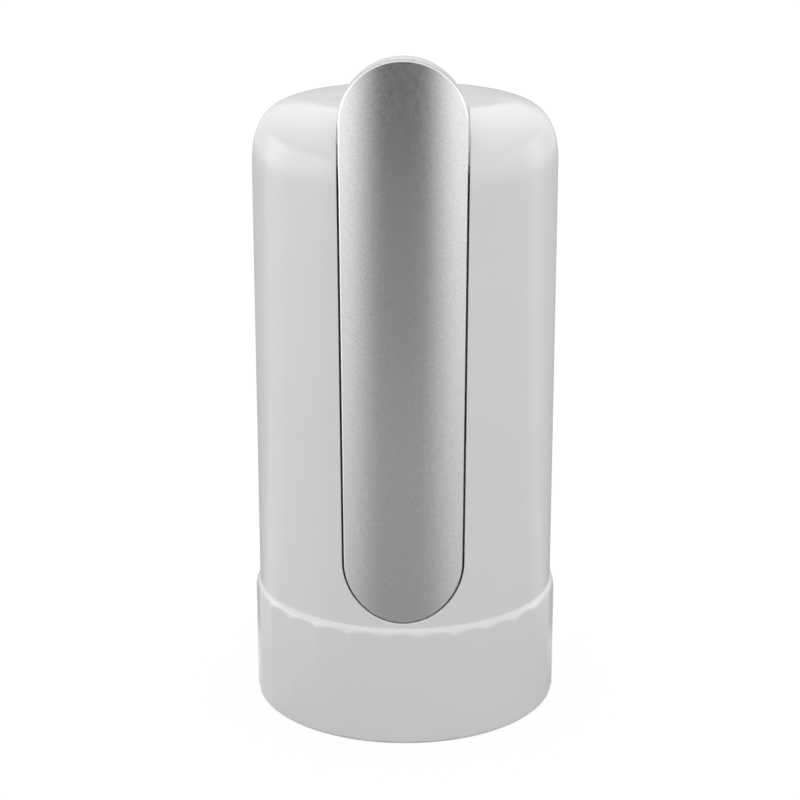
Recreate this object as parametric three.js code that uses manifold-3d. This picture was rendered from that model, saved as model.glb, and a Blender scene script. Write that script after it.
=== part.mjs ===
// Electric water jug pump: a battery pump that stands on the neck of a large water jug.
// Millimetres, +Z up, the origin on the axis at the foot of the skirt. The spout arm faces -Y.
import * as THREE from 'three';
import { mergeVertices } from 'three/addons/utils/BufferGeometryUtils.js';
import Module from 'manifold-3d';

const wasm = await Module();
wasm.setup();

// General fits
const gap = 0.3;              // between pieces that touch
const runGap = 0.25;          // round a shaft or a screw
const overrun = 5;            // how far a cutting tool stands past what it cuts
const weldGap = 1e-4;         // vertices nearer than this are one

// Facet counts
const skirtFacets = 27;
const facetSplit = 2;         // body facets per skirt facet
const bodySides = skirtFacets * facetSplit;
const bodyTurn = facetSplit % 2 ? Math.PI / bodySides : 0;   // sets the body's facets on the skirt's
const innerSides = 28;
const domeSteps = 6;
const innerDomeSteps = 4;
const bandSteps = 3;
const endSteps = 12;          // facets on a half round outline end
const holeSides = 12;
const screwSides = 8;
const tubeSides = 8;
const drumSides = 20;
const suctionSteps = 18;
const deliverySteps = 14;
const spoutSteps = 11;

// Body and dome
const bodyRadius = 35;
const bodyTop = 144;
const domeRadial = 17;        // how far the shoulder reaches in
const domeHeight = 17;
const domePower = 3.4;        // superellipse exponent of the shoulder
const bodyWall = 2.4;

// Skirt
const skirtProud = 1.4;       // corners of the facets past the body
const skirtTop = 27.3;        // where the round body ends
const bandDrop = 2.1;         // height of the soft band between body and facets
const skirtWall = 2.75;       // at the middle of a facet
const footBreak = 0.5;
const skirtOver = 0.3;         // the revolved form past the facets' corners

// Slot for the spout arm
const slotHalfTop = 14.35;    // half width beside the hinge
const slotTaper = 0.5;        // how much less its half width is at the foot
const slotFootZ = 43.3;       // centre of the round foot
const hingeDepth = 10.9;      // hinge axis below the top and behind the front
const armTailDrop = 1;        // centre of the arm's round tail below the top
const slotWall = 2.2;
const troughGap = 0.5;        // round the arm's knuckles

// Spout arm
const armGap = 0.4;           // arm to slot, all round
const armCoverThick = 1.5;
const armCoverEdge = 0.35;    // bright chamfer on the cover
const armWall = 1.6;
const armBackEdge = 1.2;      // rounding of the back edges
const backEdgeShare = 0.3;    // where the rounding turns
const knuckleRadius = 4.6;
const knuckleGap = 0.4;       // knuckle to manifold
const tubeSlack = 0.15;       // beside the arm's tube
const armScrewInset = 5.35;   // from the arm's edge
const armScrewDrop = 22;      // below the hinge axis
const armBossRadius = 2.6;

// Nozzle on the arm's back
const nozzleRadius = 5;
const nozzleBore = 3.4;
const nozzleReach = 9.2;
const nozzleWall = 1.2;       // floor of the nozzle inside the arm
const nozzleStub = 5;         // stub that the arm's tube slides on
const nozzleStubRadius = 1.6;
const nozzleLip = 0.6;
const nozzleWellGap = 1.5;
const nozzleTipGap = 1.3;

// Hinge water way
const journalRadius = 3;
const journalBore = 1.8;
const journalDepth = 2;       // how far pin and journal stand in the cheeks
const manifoldRadius = 4.4;
const manifoldWeb = 2.4;      // from the middle to the floor of each bore
const stemRadius = 3.2;
const stemBore = 1.6;
const stemPadRadius = 6.4;
const stemPadReach = 9;       // hinge axis to the seat of the nut
const nutThick = 3;
const nutAcross = 11;         // over the corners
const barbRadius = 2.2;
const barbLength = 7;
const stemStraight = 7;       // straight tube past the barb

// Tubes
const hoseBore = 2.75;
const hoseRadius = 3.7;
const spoutTubeRadius = 2.6;
const spoutTubeBore = 1.95;
const swerveShare = 0.5;      // where the arm's tube is halfway to the middle
const swerveDrop = 4.4;       // that place below the upper screw
const swerveEndDrop = 13.2;   // where it reaches the middle
const tubeStraight = 5;       // straight tube past each stub

// Power button, on the flat behind the slot
const buttonRadius = 6;
const buttonBehind = 0.6;     // light ring's flange to the slot's end wall
const buttonProud = 0.8;
const buttonTravel = 0.8;
const buttonHeight = 7;
const buttonFlange = 0.9;     // stands out past the button, under the light ring
const buttonFlangeThick = 1.3;
const buttonWall = 1.4;
const buttonDish = 0.35;
const buttonDishRadius = 4.6;
const lightRingWidth = 1.5;
const lightRingFlange = 0.8;
const lightRingFlangeThick = 1.5;
const buttonStop = 0.3;       // button flange to light ring

// Switch board under the button
const boardThick = 1.2;
const switchSide = 6;
const switchHeight = 3.5;
const plungerRadius = 1.75;
const plungerWell = 1.6;
const switchBoardHalf = 15.5;
const switchBoardDepth = 15;
const switchScrewSide = 12.5;
const switchBossRadius = 2.3;
const ledWide = 2;
const ledHigh = 1;
const ledSide = 7;

// Chassis, under the pump works
const deckUnder = 24.5;       // the jug's rim rests here
const deckThick = 2.4;
const socketWall = 2.1;
const socketLip = 1.6;        // holds the grip ring up
const socketLipThick = 1.4;
const socketRise = 1;         // above the foot of the skirt
const cupRadius = 4.2;
const cupRise = 2.7;
const cupFloor = 2.2;
const chassisScrewInset = 5.6; // from the chassis's edge
const chassisScrewTurn = 35;  // degrees off the X axis
const shellBossRadius = 3.2;
const shellBossTop = 42.6;
const shellBossRib = 2;

// Grip ring
const gripWall = 1.2;
const gripFins = 3;
const gripFinThick = 0.9;
const gripFinDrop = 1.6;
const gripFinReach = 2.4;     // leaves 0.4 less than the radius of a 55 mm jug neck
const rimSeatInner = 21;      // land that the jug's rim bears on
const rimSeatGap = 0.5;       // land to the fins' tips
const rimSeatDrop = 0.4;

// Screws
const screwRadius = 1.25;
const screwHead = 2.5;
const screwHeadThick = 1.6;
const screwLength = 10;
const smallScrewRadius = 0.9;
const smallScrewHead = 1.7;
const smallScrewHeadThick = 1.1;
const smallScrewLength = 5;
const headEdgeShare = 0.7;    // where the rounding of a screw's head starts
const holeDepthShare = 0.8;   // blind hole in a boss, of the screw's length
const flushHeadShare = 0.25;  // thickness of a flush head
const flushHeadShow = 0.1;

// Inlet
const inletRadius = 5;
const inletBore = 3;
const inletCollarRadius = 7.6;
const inletCollarThick = 2.2;
const inletWasherThick = 1;
const inletFootHeight = 8;          // lower end of the hose barb
const inletBarbRadius = 4.2;
const inletBarbStep = 0.7;
const inletBarbPitch = 3.2;
const inletBarbs = 3;
const barbCrestShare = 0.8;   // of the pitch, where a barb is widest
const inletNutThick = 3;
const inletNutAcross = 15;
const inletTopLength = 5.5;         // barb above the nut

// Inner frame
const frameFloor = 43.3;
const frameThick = 2;
const frameClear = 1.6;       // frame to the body's inside
const frameFront = 8;         // front edge ahead of the axis
const frameSpineThick = 1.8;
const frameSpineClear = 1.1;  // motor clamp to spine
const frameSpineLeft = 17;
const frameSpineRight = 22;
const frameSpineTop = 96;
const clampHeight = 5;
const clampWall = 1.6;
const motorClampZ = 60;
const batteryClampZ = 86;
const postRadius = 2.6;
const postInset = 3.5;        // from the frame's edge
const postTurns = [-13, 193, 118];   // degrees
const hoseHoleRadius = 5.6;

// Pump and motor
const pumpX = -13.5;
const pumpY = 5;
const motorRadius = 12.2;
const motorLength = 31;
const motorWall = 0.8;
const motorSeat = 0.6;        // recess in the frame
const motorCapThick = 2.4;
const bearingRadius = 3;
const bearingHeight = 1.6;
const shaftRadius = 1;
const armatureRadius = 8.6;
const armatureShort = 6;      // clear of each end of the can
const terminalSide = 7.5;
const terminalWide = 2.3;
const terminalThick = 0.5;
const terminalReach = 3.2;
const pumpRadius = 12.6;
const pumpBodyLength = 15;
const pumpWall = 1.8;
const eccentricRadius = 5.2;
const eccentricThick = 4.5;
const eccentricOffset = 1.6;
const eccentricPin = 1;
const eccentricPinReach = 2.2;
const yokeCup = 3.2;
const yokeWall = 1.2;
const yokeRoof = 2.6;         // over the bearing cup
const yokePlate = 8.6;
const yokePlateThick = 1.4;
const yokeArms = 3;
const diaphragmThick = 1.6;
const diaphragmCup = 3;
const diaphragmRing = 5.4;
const valvePlateThick = 2.8;
const valveHole = 1.2;
const headThick = 7;
const headStep = 1.2;
const portRadius = 2.2;
const portBore = 1.3;
const outletReach = 6.5;
const outletTurn = -50;       // degrees, where the outlet stands on the head
const outletRing = 5;
const deliveryStraight = 1.2; // straight tube past the outlet
const inletTurn = -30;        // degrees, which way the side inlet points
const sideInletReach = 6.5;
const pumpScrewRing = 10.3;
const pumpScrews = 3;
const pumpScrewTurn = 20;
const pumpScrewLength = 12;
const columnRing = 27;        // pump axis to the rising suction tube
const suctionRise = 12.1;     // above the frame's floor, where the tube stands upright
const suctionXShare = 0.5;    // where the tube passes the floor, of the column's place
const suctionYShare = 0.45;
const hoseCrossXShare = 0.45; // the hole in the floor
const hoseCrossYShare = 0.4;
const bendShare = 0.3;

// Battery
const batteryX = 17.6;
const batteryY = 7;
const batteryRadius = 9.2;
const batteryLength = 65;
const batteryCapRadius = 3;
const batteryCapHigh = 1;
const batterySeat = 0.8;

// Control board and charging socket
const boardWide = 30;
const boardLow = 52;
const boardHigh = 48;
const boardPost = 3.2;
const boardPostRadius = 2.2;
const boardPostInset = 4;
const chipSide = 5;
const chipThick = 1;
const inductorRadius = 3;
const inductorHigh = 2.6;
const capacitorRadius = 2;
const capacitorHigh = 3;
const chargeBoardWide = 15;
const chargeBoardDeep = 8;
const chargeBoardZ = 38;
const chargeBoardClear = 2.2; // board to the body's inside
const chargePostRadius = 1.8;
const chargePostSide = 5;
const usbWide = 9;
const usbHigh = 3.2;
const usbDeep = 7.3;
const usbRecess = 1.3;        // socket mouth behind the body's surface
const usbWall = 0.35;
const usbTongueThick = 0.7;
const usbTongueWide = 6.6;

// Worked out from the above
const slotHalfFoot = slotHalfTop - slotTaper;
const armTail = hingeDepth - armTailDrop;
const hingeY = -(bodyRadius - hingeDepth);
const hingeZ = bodyTop - hingeDepth;
const slotEndY = hingeY + armTail;
const armTailZ = hingeZ + armTail;
const armHalfTop = slotHalfTop - armGap;
const armHalfFoot = slotHalfFoot - armGap;
const armBackY = hingeY - armGap;
const knuckleInner = armHalfTop - armWall - 2 * (spoutTubeRadius + gap) - tubeSlack;
const manifoldHalf = knuckleInner - knuckleGap;
const manifoldBoreDepth = manifoldHalf - manifoldWeb;
const armScrewSide = armHalfTop - armScrewInset;
const troughRadius = knuckleRadius + troughGap;
const nozzleZ = slotFootZ;
const nozzleWellRadius = nozzleRadius + nozzleWellGap;
const nozzleTipY = armBackY + nozzleReach;
const nozzleWellY = nozzleTipY + nozzleTipGap;
const deckTop = deckUnder + deckThick;
const skirtCorner = bodyRadius + skirtProud;
const skirtFlat = skirtCorner * Math.cos(Math.PI / skirtFacets);
const skirtInner = skirtFlat - skirtWall;
const chassisRadius = skirtInner - gap;
const chassisScrewRing = chassisRadius - chassisScrewInset;
const gripOuter = chassisRadius - socketWall - gap;
const gripInner = gripOuter - gripWall;
const gripTip = gripInner - gripFinReach;
const rimSeatOuter = gripTip - rimSeatGap;
const bodyInner = bodyRadius - bodyWall;
const frameRadius = bodyInner - frameClear;
const frameSpineY = pumpY + motorRadius + gap + clampWall + frameSpineClear;
const chargeBoardBack = bodyInner - chargeBoardClear;
const roofUnder = bodyTop - bodyWall;
const ringInner = buttonRadius + gap;
const ringOuter = ringInner + lightRingWidth;
const buttonY = slotEndY + slotHalfTop + slotWall + buttonBehind + ringOuter + lightRingFlange;

// Builds a solid from a closed three.js geometry.
function solid(geometry) {
  const bare = geometry.clone();
  for (const name of Object.keys(bare.attributes)) if (name !== 'position') bare.deleteAttribute(name);
  const merged = mergeVertices(bare, weldGap);
  const index = merged.index.array;
  const kept = [];
  for (let i = 0; i < index.length; i += 3) {
    const [a, b, c] = [index[i], index[i + 1], index[i + 2]];
    if (a !== b && b !== c && c !== a) kept.push(a, b, c);
  }
  const mesh = new wasm.Mesh({
    numProp: 3,
    vertProperties: new Float32Array(merged.attributes.position.array),
    triVerts: new Uint32Array(kept),
  });
  mesh.merge();
  return new wasm.Manifold(mesh);
}

// Turns a solid back into a geometry with flat faces.
function geometryOf(body) {
  const mesh = body.getMesh();
  const { vertProperties, triVerts, numProp } = mesh;
  const position = new Float32Array(triVerts.length * 3);
  triVerts.forEach((v, i) => {
    for (let k = 0; k < 3; k++) position[i * 3 + k] = vertProperties[v * numProp + k];
  });
  const geometry = new THREE.BufferGeometry();
  geometry.setAttribute('position', new THREE.BufferAttribute(position, 3));
  geometry.computeVertexNormals();
  return geometry;
}

const join = (...bodies) => bodies.reduce((a, b) => a.add(b));
const cut = (body, ...tools) => tools.reduce((a, b) => a.subtract(b), body);
const degrees = (angle) => THREE.MathUtils.degToRad(angle);

// Revolves a closed profile of [radius, height] about Z, starting at the front.
function revolve(profile, sides, start = 0) {
  const points = profile.map(([r, z]) => new THREE.Vector2(r, z));
  if (profile[0][0] > 0) points.push(points[0].clone());
  const geometry = new THREE.LatheGeometry(points, sides, start, Math.PI * 2);
  geometry.rotateX(Math.PI / 2);
  const body = solid(geometry);
  return body.volume() < 0 ? flip(geometry) : body;
}

function flip(geometry) {
  const turned = geometry.clone();
  const index = turned.index.array;
  for (let i = 0; i < index.length; i += 3) [index[i], index[i + 1]] = [index[i + 1], index[i]];
  return solid(turned);
}

// A plain round bar along Z from z0 to z1.
function bar(radius, z0, z1, sides = drumSides) {
  const geometry = new THREE.CylinderGeometry(radius, radius, z1 - z0, sides);
  geometry.rotateX(Math.PI / 2);
  geometry.translate(0, 0, (z0 + z1) / 2);
  return solid(geometry);
}

// The same bar laid along X or Y, or along any line.
const barX = (radius, x0, x1, y, z, sides = drumSides) => bar(radius, x0, x1, sides).rotate([0, 90, 0]).translate([0, y, z]);
const barY = (radius, y0, y1, x, z, sides = drumSides) => bar(radius, -y1, -y0, sides).rotate([90, 0, 0]).translate([x, 0, z]);
const barAt = (radius, x, y, z0, z1, sides = drumSides) => bar(radius, z0, z1, sides).translate([x, y, 0]);

function block(x0, x1, y0, y1, z0, z1) {
  const geometry = new THREE.BoxGeometry(x1 - x0, y1 - y0, z1 - z0);
  geometry.translate((x0 + x1) / 2, (y0 + y1) / 2, (z0 + z1) / 2);
  return solid(geometry);
}

// Extrudes an outline drawn in X and Y along Z, or one drawn in X and Z along Y.
function extrudeZ(shape, z0, z1, curveSegments = endSteps) {
  const geometry = new THREE.ExtrudeGeometry(shape, { depth: z1 - z0, bevelEnabled: false, curveSegments });
  geometry.translate(0, 0, z0);
  return solid(geometry);
}
function extrudeY(shape, y0, y1, curveSegments = endSteps) {
  const geometry = new THREE.ExtrudeGeometry(shape, { depth: y1 - y0, bevelEnabled: false, curveSegments });
  geometry.rotateX(Math.PI / 2);
  geometry.translate(0, y1, 0);
  return solid(geometry);
}

// A long outline with a round foot, straight sides that widen to a level, and a round tail above it.
function armOutline(halfTop, halfFoot, footZ, levelZ, tailZ) {
  const shape = new THREE.Shape();
  shape.moveTo(-halfTop, tailZ);
  shape.lineTo(-halfTop, levelZ);
  shape.lineTo(-halfFoot, footZ);
  shape.absarc(0, footZ, halfFoot, Math.PI, 0, false);
  shape.lineTo(halfTop, levelZ);
  shape.lineTo(halfTop, tailZ);
  shape.absarc(0, tailZ, halfTop, 0, Math.PI, false);
  return shape;
}

// A stadium or rounded rectangle about a point.
function roundedRect(wide, high, radius, x = 0, y = 0) {
  const shape = new THREE.Shape();
  const [left, right, low, top] = [x - wide / 2, x + wide / 2, y - high / 2, y + high / 2];
  shape.moveTo(left + radius, low);
  shape.lineTo(right - radius, low);
  shape.absarc(right - radius, low + radius, radius, -Math.PI / 2, 0, false);
  shape.lineTo(right, top - radius);
  shape.absarc(right - radius, top - radius, radius, 0, Math.PI / 2, false);
  shape.lineTo(left + radius, top);
  shape.absarc(left + radius, top - radius, radius, Math.PI / 2, Math.PI, false);
  shape.lineTo(left, low + radius);
  shape.absarc(left + radius, low + radius, radius, Math.PI, Math.PI * 1.5, false);
  return shape;
}

// A round tube with its bore along a smooth line through the points.
function tube(points, outer, bore, steps, sides = tubeSides) {
  const section = new THREE.Shape();
  section.absarc(0, 0, outer, 0, Math.PI * 2, false);
  const hole = new THREE.Path();
  hole.absarc(0, 0, bore, 0, Math.PI * 2, true);
  section.holes.push(hole);
  const path = new THREE.CatmullRomCurve3(points.map((p) => new THREE.Vector3(...p)), false, 'centripetal');
  return solid(new THREE.ExtrudeGeometry(section, { steps, extrudePath: path, curveSegments: sides / 2 }));
}

// A plain-headed screw: point up along +Z from the head's seat at 0.
function screw(radius, head, headThick, length) {
  return revolve([[0, -headThick], [head * headEdgeShare, -headThick], [head, 0], [radius, 0], [radius, length - radius], [0, length]], screwSides);
}

// The dome's outline, drawn in by a wall all round.
function shoulder(inset, steps) {
  const points = [];
  const flat = bodyRadius - domeRadial;
  const radial = domeRadial - inset;
  const rise = domeHeight - inset;
  for (let i = 0; i <= steps; i++) {
    const turn = (i / steps) * (Math.PI / 2);
    const [c, s] = [Math.cos(turn), Math.sin(turn)];
    const reach = (c ** domePower + s ** domePower) ** (-1 / domePower);
    points.push([flat + radial * c * reach, bodyTop - domeHeight + rise * s * reach]);
  }
  return points;
}

const group = new THREE.Group();
const white = { color: 0xf4f4f2, roughness: 0.42, metalness: 0 };
const silver = { color: 0x9c9ca0, roughness: 0.36, metalness: 0.85 };
const blackPlastic = { color: 0x1d1d1f, roughness: 0.55, metalness: 0 };
const greyPlastic = { color: 0x8f9194, roughness: 0.5, metalness: 0 };
const silicone = { color: 0xdfe2e3, roughness: 0.6, metalness: 0 };
const clearSilicone = { color: 0xe6ecee, roughness: 0.3, metalness: 0 };
const steel = { color: 0xc4c6c8, roughness: 0.3, metalness: 1 };
const brass = { color: 0xc9a75a, roughness: 0.35, metalness: 1 };
const boardGreen = { color: 0x1d5a3a, roughness: 0.5, metalness: 0 };
const wrap = { color: 0x2f6fb0, roughness: 0.4, metalness: 0 };
const lens = { color: 0xeef4f8, roughness: 0.25, metalness: 0 };
const rubber = { color: 0x2a2a2b, roughness: 0.8, metalness: 0 };

function add(name, body, look) {
  const mesh = new THREE.Mesh(geometryOf(body), new THREE.MeshStandardMaterial(look));
  mesh.name = name;
  group.add(mesh);
  return mesh;
}

// Main shell: cylinder, dome and faceted skirt in one moulding, with the slot's walls inside it
const band = [];
for (let i = 0; i <= bandSteps; i++) {
  const turn = (i / bandSteps) * (Math.PI / 2);
  const reach = skirtCorner + skirtOver - bodyRadius;
  band.push([bodyRadius + reach * Math.cos(turn), skirtTop - bandDrop + bandDrop * Math.sin(turn)]);
}
const skirtReach = skirtCorner + skirtOver;
const outerProfile = [[0, 0], [skirtFlat - footBreak, 0], [skirtReach, footBreak + skirtReach - skirtFlat], ...band,
  ...shoulder(0, domeSteps), [0, bodyTop]];
const prism = bar(skirtCorner, -overrun, bodyTop + overrun, skirtFacets).rotate([0, 0, 180 / skirtFacets]);
const outerForm = revolve(outerProfile, bodySides, bodyTurn).intersect(prism);
const skirtStep = deckTop + gap;
const innerProfile = [[0, -overrun], [skirtInner, -overrun], [skirtInner, skirtStep], [bodyInner, skirtStep + (skirtInner - bodyInner)],
  ...shoulder(bodyWall, innerDomeSteps), [0, roofUnder]];
const innerForm = revolve(innerProfile, innerSides);

function slotForm(inflate) {
  const front = armOutline(slotHalfTop + inflate, slotHalfFoot + inflate, slotFootZ, hingeZ, bodyTop + armTail);
  const plan = new THREE.Shape();
  plan.moveTo(-(slotHalfTop + inflate), -(bodyRadius + overrun));
  plan.lineTo(slotHalfTop + inflate, -(bodyRadius + overrun));
  plan.lineTo(slotHalfTop + inflate, slotEndY);
  plan.absarc(0, slotEndY, slotHalfTop + inflate, 0, Math.PI, false);
  return join(
    extrudeY(front, -(bodyRadius + overrun), hingeY + inflate),
    extrudeZ(plan, hingeZ - inflate, bodyTop + overrun),
    barX(troughRadius + inflate, -(slotHalfTop + inflate), slotHalfTop + inflate, hingeY, hingeZ),
    barY(nozzleWellRadius + inflate, hingeY - overrun, nozzleWellY + inflate, 0, nozzleZ, holeSides),
  );
}
// Lays a form made along Z on the line down and back from the hinge, halfway between the folded and the raised arm.
function onStemLine(body) {
  return body.rotate([-135, 0, 0]).translate([0, hingeY, hingeZ]);
}
const stemWay = Math.SQRT1_2;
const slotCut = slotForm(0);
const stemPad = onStemLine(bar(stemPadRadius, troughRadius, stemPadReach, holeSides));
const slotWalls = slotForm(slotWall).add(stemPad);

const buttonHole = barAt(buttonRadius + gap + lightRingWidth + gap, 0, buttonY, roofUnder - overrun, bodyTop + overrun);
const usbZ = chargeBoardZ + boardThick + gap + usbHigh / 2;
const usbHole = extrudeY(roundedRect(usbWide + 2 * gap, usbHigh + 2 * gap, usbHigh / 2, 0, usbZ), bodyInner - overrun, bodyRadius + overrun, holeSides / 4);
const chassisScrewPlaces = [chassisScrewTurn, 180 - chassisScrewTurn, 180 + chassisScrewTurn, -chassisScrewTurn].map((turn) =>
  [chassisScrewRing * Math.cos(degrees(turn)), chassisScrewRing * Math.sin(degrees(turn)), turn]);
const shellBossFoot = deckTop + cupRise + gap;
const shellBosses = chassisScrewPlaces.map(([x, y, turn]) => join(
  barAt(shellBossRadius, x, y, shellBossFoot, shellBossTop, holeSides),
  block(chassisScrewRing, bodyInner + bodyWall / 2, -shellBossRib / 2, shellBossRib / 2, shellBossFoot, shellBossTop).rotate([0, 0, turn]),
));
const shellBossHoles = chassisScrewPlaces.map(([x, y]) => barAt(screwRadius + runGap, x, y, shellBossFoot - overrun, shellBossFoot + screwLength, screwSides));
const switchBoardTop = bodyTop + buttonProud - buttonHeight - buttonTravel - switchHeight - 2 * gap;
const switchBosses = [-1, 1].map((side) => barAt(switchBossRadius, side * switchScrewSide, buttonY, switchBoardTop + gap, roofUnder + bodyWall / 2, holeSides));
const switchHoles = [-1, 1].map((side) => barAt(smallScrewRadius + runGap, side * switchScrewSide, buttonY, switchBoardTop - overrun, switchBoardTop + gap + smallScrewLength, screwSides));
const cavity = cut(innerForm, slotWalls);
const cheekBore = barX(journalRadius + runGap, -(slotHalfTop + journalDepth + gap), slotHalfTop + journalDepth + gap, hingeY, hingeZ, holeSides);
const stemHole = onStemLine(bar(stemRadius + runGap, 0, stemPadReach + overrun, holeSides));
const shell = cut(
  join(outerForm.subtract(cavity), ...shellBosses.map((b) => b.intersect(outerForm)), ...switchBosses),
  slotCut, cheekBore, stemHole, buttonHole, usbHole, ...shellBossHoles, ...switchHoles,
);
add('main_shell', shell, white);

// Chassis: deck over the jug's rim, socket wall round the neck, screw cups and posts
const chassisProfile = [
  [inletRadius + gap, deckUnder],
  [rimSeatInner, deckUnder],
  [rimSeatInner, deckUnder - rimSeatDrop],
  [rimSeatOuter, deckUnder - rimSeatDrop],
  [rimSeatOuter, deckUnder],
  [chassisRadius - socketWall, deckUnder],
  [chassisRadius - socketWall, socketRise + socketLipThick],
  [chassisRadius - socketWall - socketLip, socketRise + socketLipThick],
  [chassisRadius - socketWall - socketLip, socketRise],
  [chassisRadius, socketRise],
  [chassisRadius, deckTop],
  [inletRadius + gap, deckTop],
];
const cups = chassisScrewPlaces.map(([x, y]) => barAt(cupRadius, x, y, deckUnder, deckTop + cupRise, holeSides));
const cupBores = chassisScrewPlaces.map(([x, y]) => join(
  barAt(screwHead + gap, x, y, deckUnder - overrun, deckTop + cupRise - cupFloor, holeSides),
  barAt(screwRadius + runGap, x, y, deckUnder, deckTop + cupRise + overrun, screwSides),
));
const postPlaces = postTurns.map((turn) => [(frameRadius - postInset) * Math.cos(degrees(turn)), (frameRadius - postInset) * Math.sin(degrees(turn))]);
const posts = postPlaces.map(([x, y]) => barAt(postRadius, x, y, deckUnder + deckThick / 2, frameFloor - gap, holeSides));
const postHoles = postPlaces.map(([x, y]) => barAt(smallScrewRadius + runGap, x, y, frameFloor - smallScrewLength, frameFloor + overrun, screwSides));
const chargePosts = [-1, 1].map((side) => barAt(chargePostRadius, side * chargePostSide, chargeBoardBack - chargeBoardDeep / 2, deckUnder + deckThick / 2, chargeBoardZ - gap, screwSides));
const chassis = cut(join(revolve(chassisProfile, innerSides), ...cups, ...posts, ...chargePosts), ...cupBores, ...postHoles);
add('base_chassis', chassis, white);
chassisScrewPlaces.forEach(([x, y], i) => {
  const body = screw(screwRadius, screwHead, screwHeadThick, screwLength).translate([x, y, deckTop + cupRise - cupFloor - gap]);
  add(`chassis_screw_${i + 1}`, body, steel);
});

// Grip ring: a band inside the socket wall with fins that reach in to the neck
const gripFoot = socketRise + socketLipThick + gap;
const gripTop = deckUnder - gap;
const gripPitch = (gripTop - gripFoot) / gripFins;
const gripProfile = [[gripOuter, gripTop], [gripOuter, gripFoot]];
for (let i = 0; i < gripFins; i++) {
  const root = gripFoot + gripPitch * i;
  gripProfile.push([gripInner, root], [gripInner, root + gripPitch - gripFinThick - gripFinDrop],
    [gripTip, root + gripPitch - gripFinThick], [gripTip, root + gripPitch - gripFinThick / 2], [gripInner, root + gripPitch - gripFinDrop / 2]);
}
gripProfile.splice(2, 1);
gripProfile.push([gripInner, gripTop]);
add('neck_grip_ring', revolve([[gripInner, gripFoot], ...gripProfile.slice(2).filter(([, z]) => z < gripTop), [gripInner, gripTop], ...gripProfile.slice(0, 2)].reverse(), innerSides), silicone);

// Inlet: barbed nipple through the deck, with its washer below and its nut above
const collarTop = deckUnder - inletWasherThick - 2 * gap;
const collarFoot = collarTop - inletCollarThick;
const nutFoot = deckTop + gap;
const nutTop = nutFoot + inletNutThick;
const nippleProfile = [[inletBore, inletFootHeight], [inletBarbRadius, inletFootHeight]];
for (let i = 0; i < inletBarbs; i++) {
  const foot = inletFootHeight + i * inletBarbPitch;
  nippleProfile.push([inletBarbRadius + inletBarbStep, foot + inletBarbPitch * barbCrestShare], [inletBarbRadius, foot + inletBarbPitch * barbCrestShare]);
}
nippleProfile.push([inletBarbRadius, collarFoot], [inletCollarRadius, collarFoot], [inletCollarRadius, collarTop], [inletRadius, collarTop],
  [inletRadius, nutTop], [portRadius, nutTop], [portRadius, nutTop + inletTopLength], [portBore, nutTop + inletTopLength], [portBore, nutTop], [inletBore, nutTop - inletNutThick]);
add('inlet_nipple', revolve(nippleProfile, holeSides), white);
const washer = revolve([[inletRadius + runGap, collarTop + gap], [inletCollarRadius, collarTop + gap], [inletCollarRadius, collarTop + gap + inletWasherThick], [inletRadius + runGap, collarTop + gap + inletWasherThick]], holeSides);
add('inlet_washer', washer, rubber);
add('inlet_nut', bar(inletNutAcross / 2, nutFoot, nutTop, 6).subtract(bar(inletRadius + runGap, nutFoot - overrun, nutTop + overrun, holeSides)), white);

// Inner frame: floor plate on the posts, a spine behind the works, and clamps round motor and battery
const frameTop = frameFloor + frameThick;
const frameOutline = new THREE.Shape();
const frameTurn = Math.asin(frameFront / frameRadius);
frameOutline.absarc(0, 0, frameRadius, -frameTurn, Math.PI + frameTurn, false);
const motorFoot = frameTop - motorSeat;
const batteryFoot = frameTop - batterySeat;
const columnTurn = degrees(inletTurn);
const columnX = pumpX + columnRing * Math.cos(columnTurn);
const columnY = pumpY + columnRing * Math.sin(columnTurn);
const hoseCrossX = columnX * hoseCrossXShare;
const hoseCrossY = columnY * hoseCrossYShare;
const suctionWay = [
  [0, 0, nutTop + gap],
  [0, 0, nutTop + inletTopLength],
  [columnX * suctionXShare, columnY * suctionYShare, frameTop],
  [columnX, columnY, frameTop + suctionRise],
];
const spine = block(-frameSpineLeft, frameSpineRight, frameSpineY, frameSpineY + frameSpineThick, frameFloor, frameSpineTop);
const motorClamp = join(
  barAt(motorRadius + gap + clampWall, pumpX, pumpY, motorClampZ, motorClampZ + clampHeight),
  block(pumpX - clampWall * 2, pumpX + clampWall * 2, pumpY + motorRadius, frameSpineY + frameSpineThick, motorClampZ, motorClampZ + clampHeight),
).subtract(barAt(motorRadius + gap, pumpX, pumpY, motorClampZ - overrun, motorClampZ + clampHeight + overrun));
const batteryClamp = join(
  barAt(batteryRadius + gap + clampWall, batteryX, batteryY, batteryClampZ, batteryClampZ + clampHeight),
  block(batteryX - clampWall * 2, batteryX + clampWall * 2, batteryY + batteryRadius, frameSpineY + frameSpineThick, batteryClampZ, batteryClampZ + clampHeight),
).subtract(barAt(batteryRadius + gap, batteryX, batteryY, batteryClampZ - overrun, batteryClampZ + clampHeight + overrun));
const boardPostPlaces = [boardLow + boardPostInset, boardLow + boardHigh - boardPostInset].map((z, i) => [(i ? 1 : -1) * (boardWide / 2 - boardPostInset), z]);
const spineBack = frameSpineY + frameSpineThick;
const boardFront = spineBack + boardPost + gap;
const boardPosts = boardPostPlaces.map(([x, z]) => barY(boardPostRadius, spineBack - frameSpineThick / 2, spineBack + boardPost, x, z, screwSides));
const boardPostHoles = boardPostPlaces.map(([x, z]) => barY(smallScrewRadius + runGap, spineBack - overrun, spineBack + boardPost + overrun, x, z, screwSides));
const framePostHoles = postPlaces.map(([x, y]) => barAt(smallScrewRadius + runGap, x, y, frameFloor - overrun, frameTop + overrun, screwSides));
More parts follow.
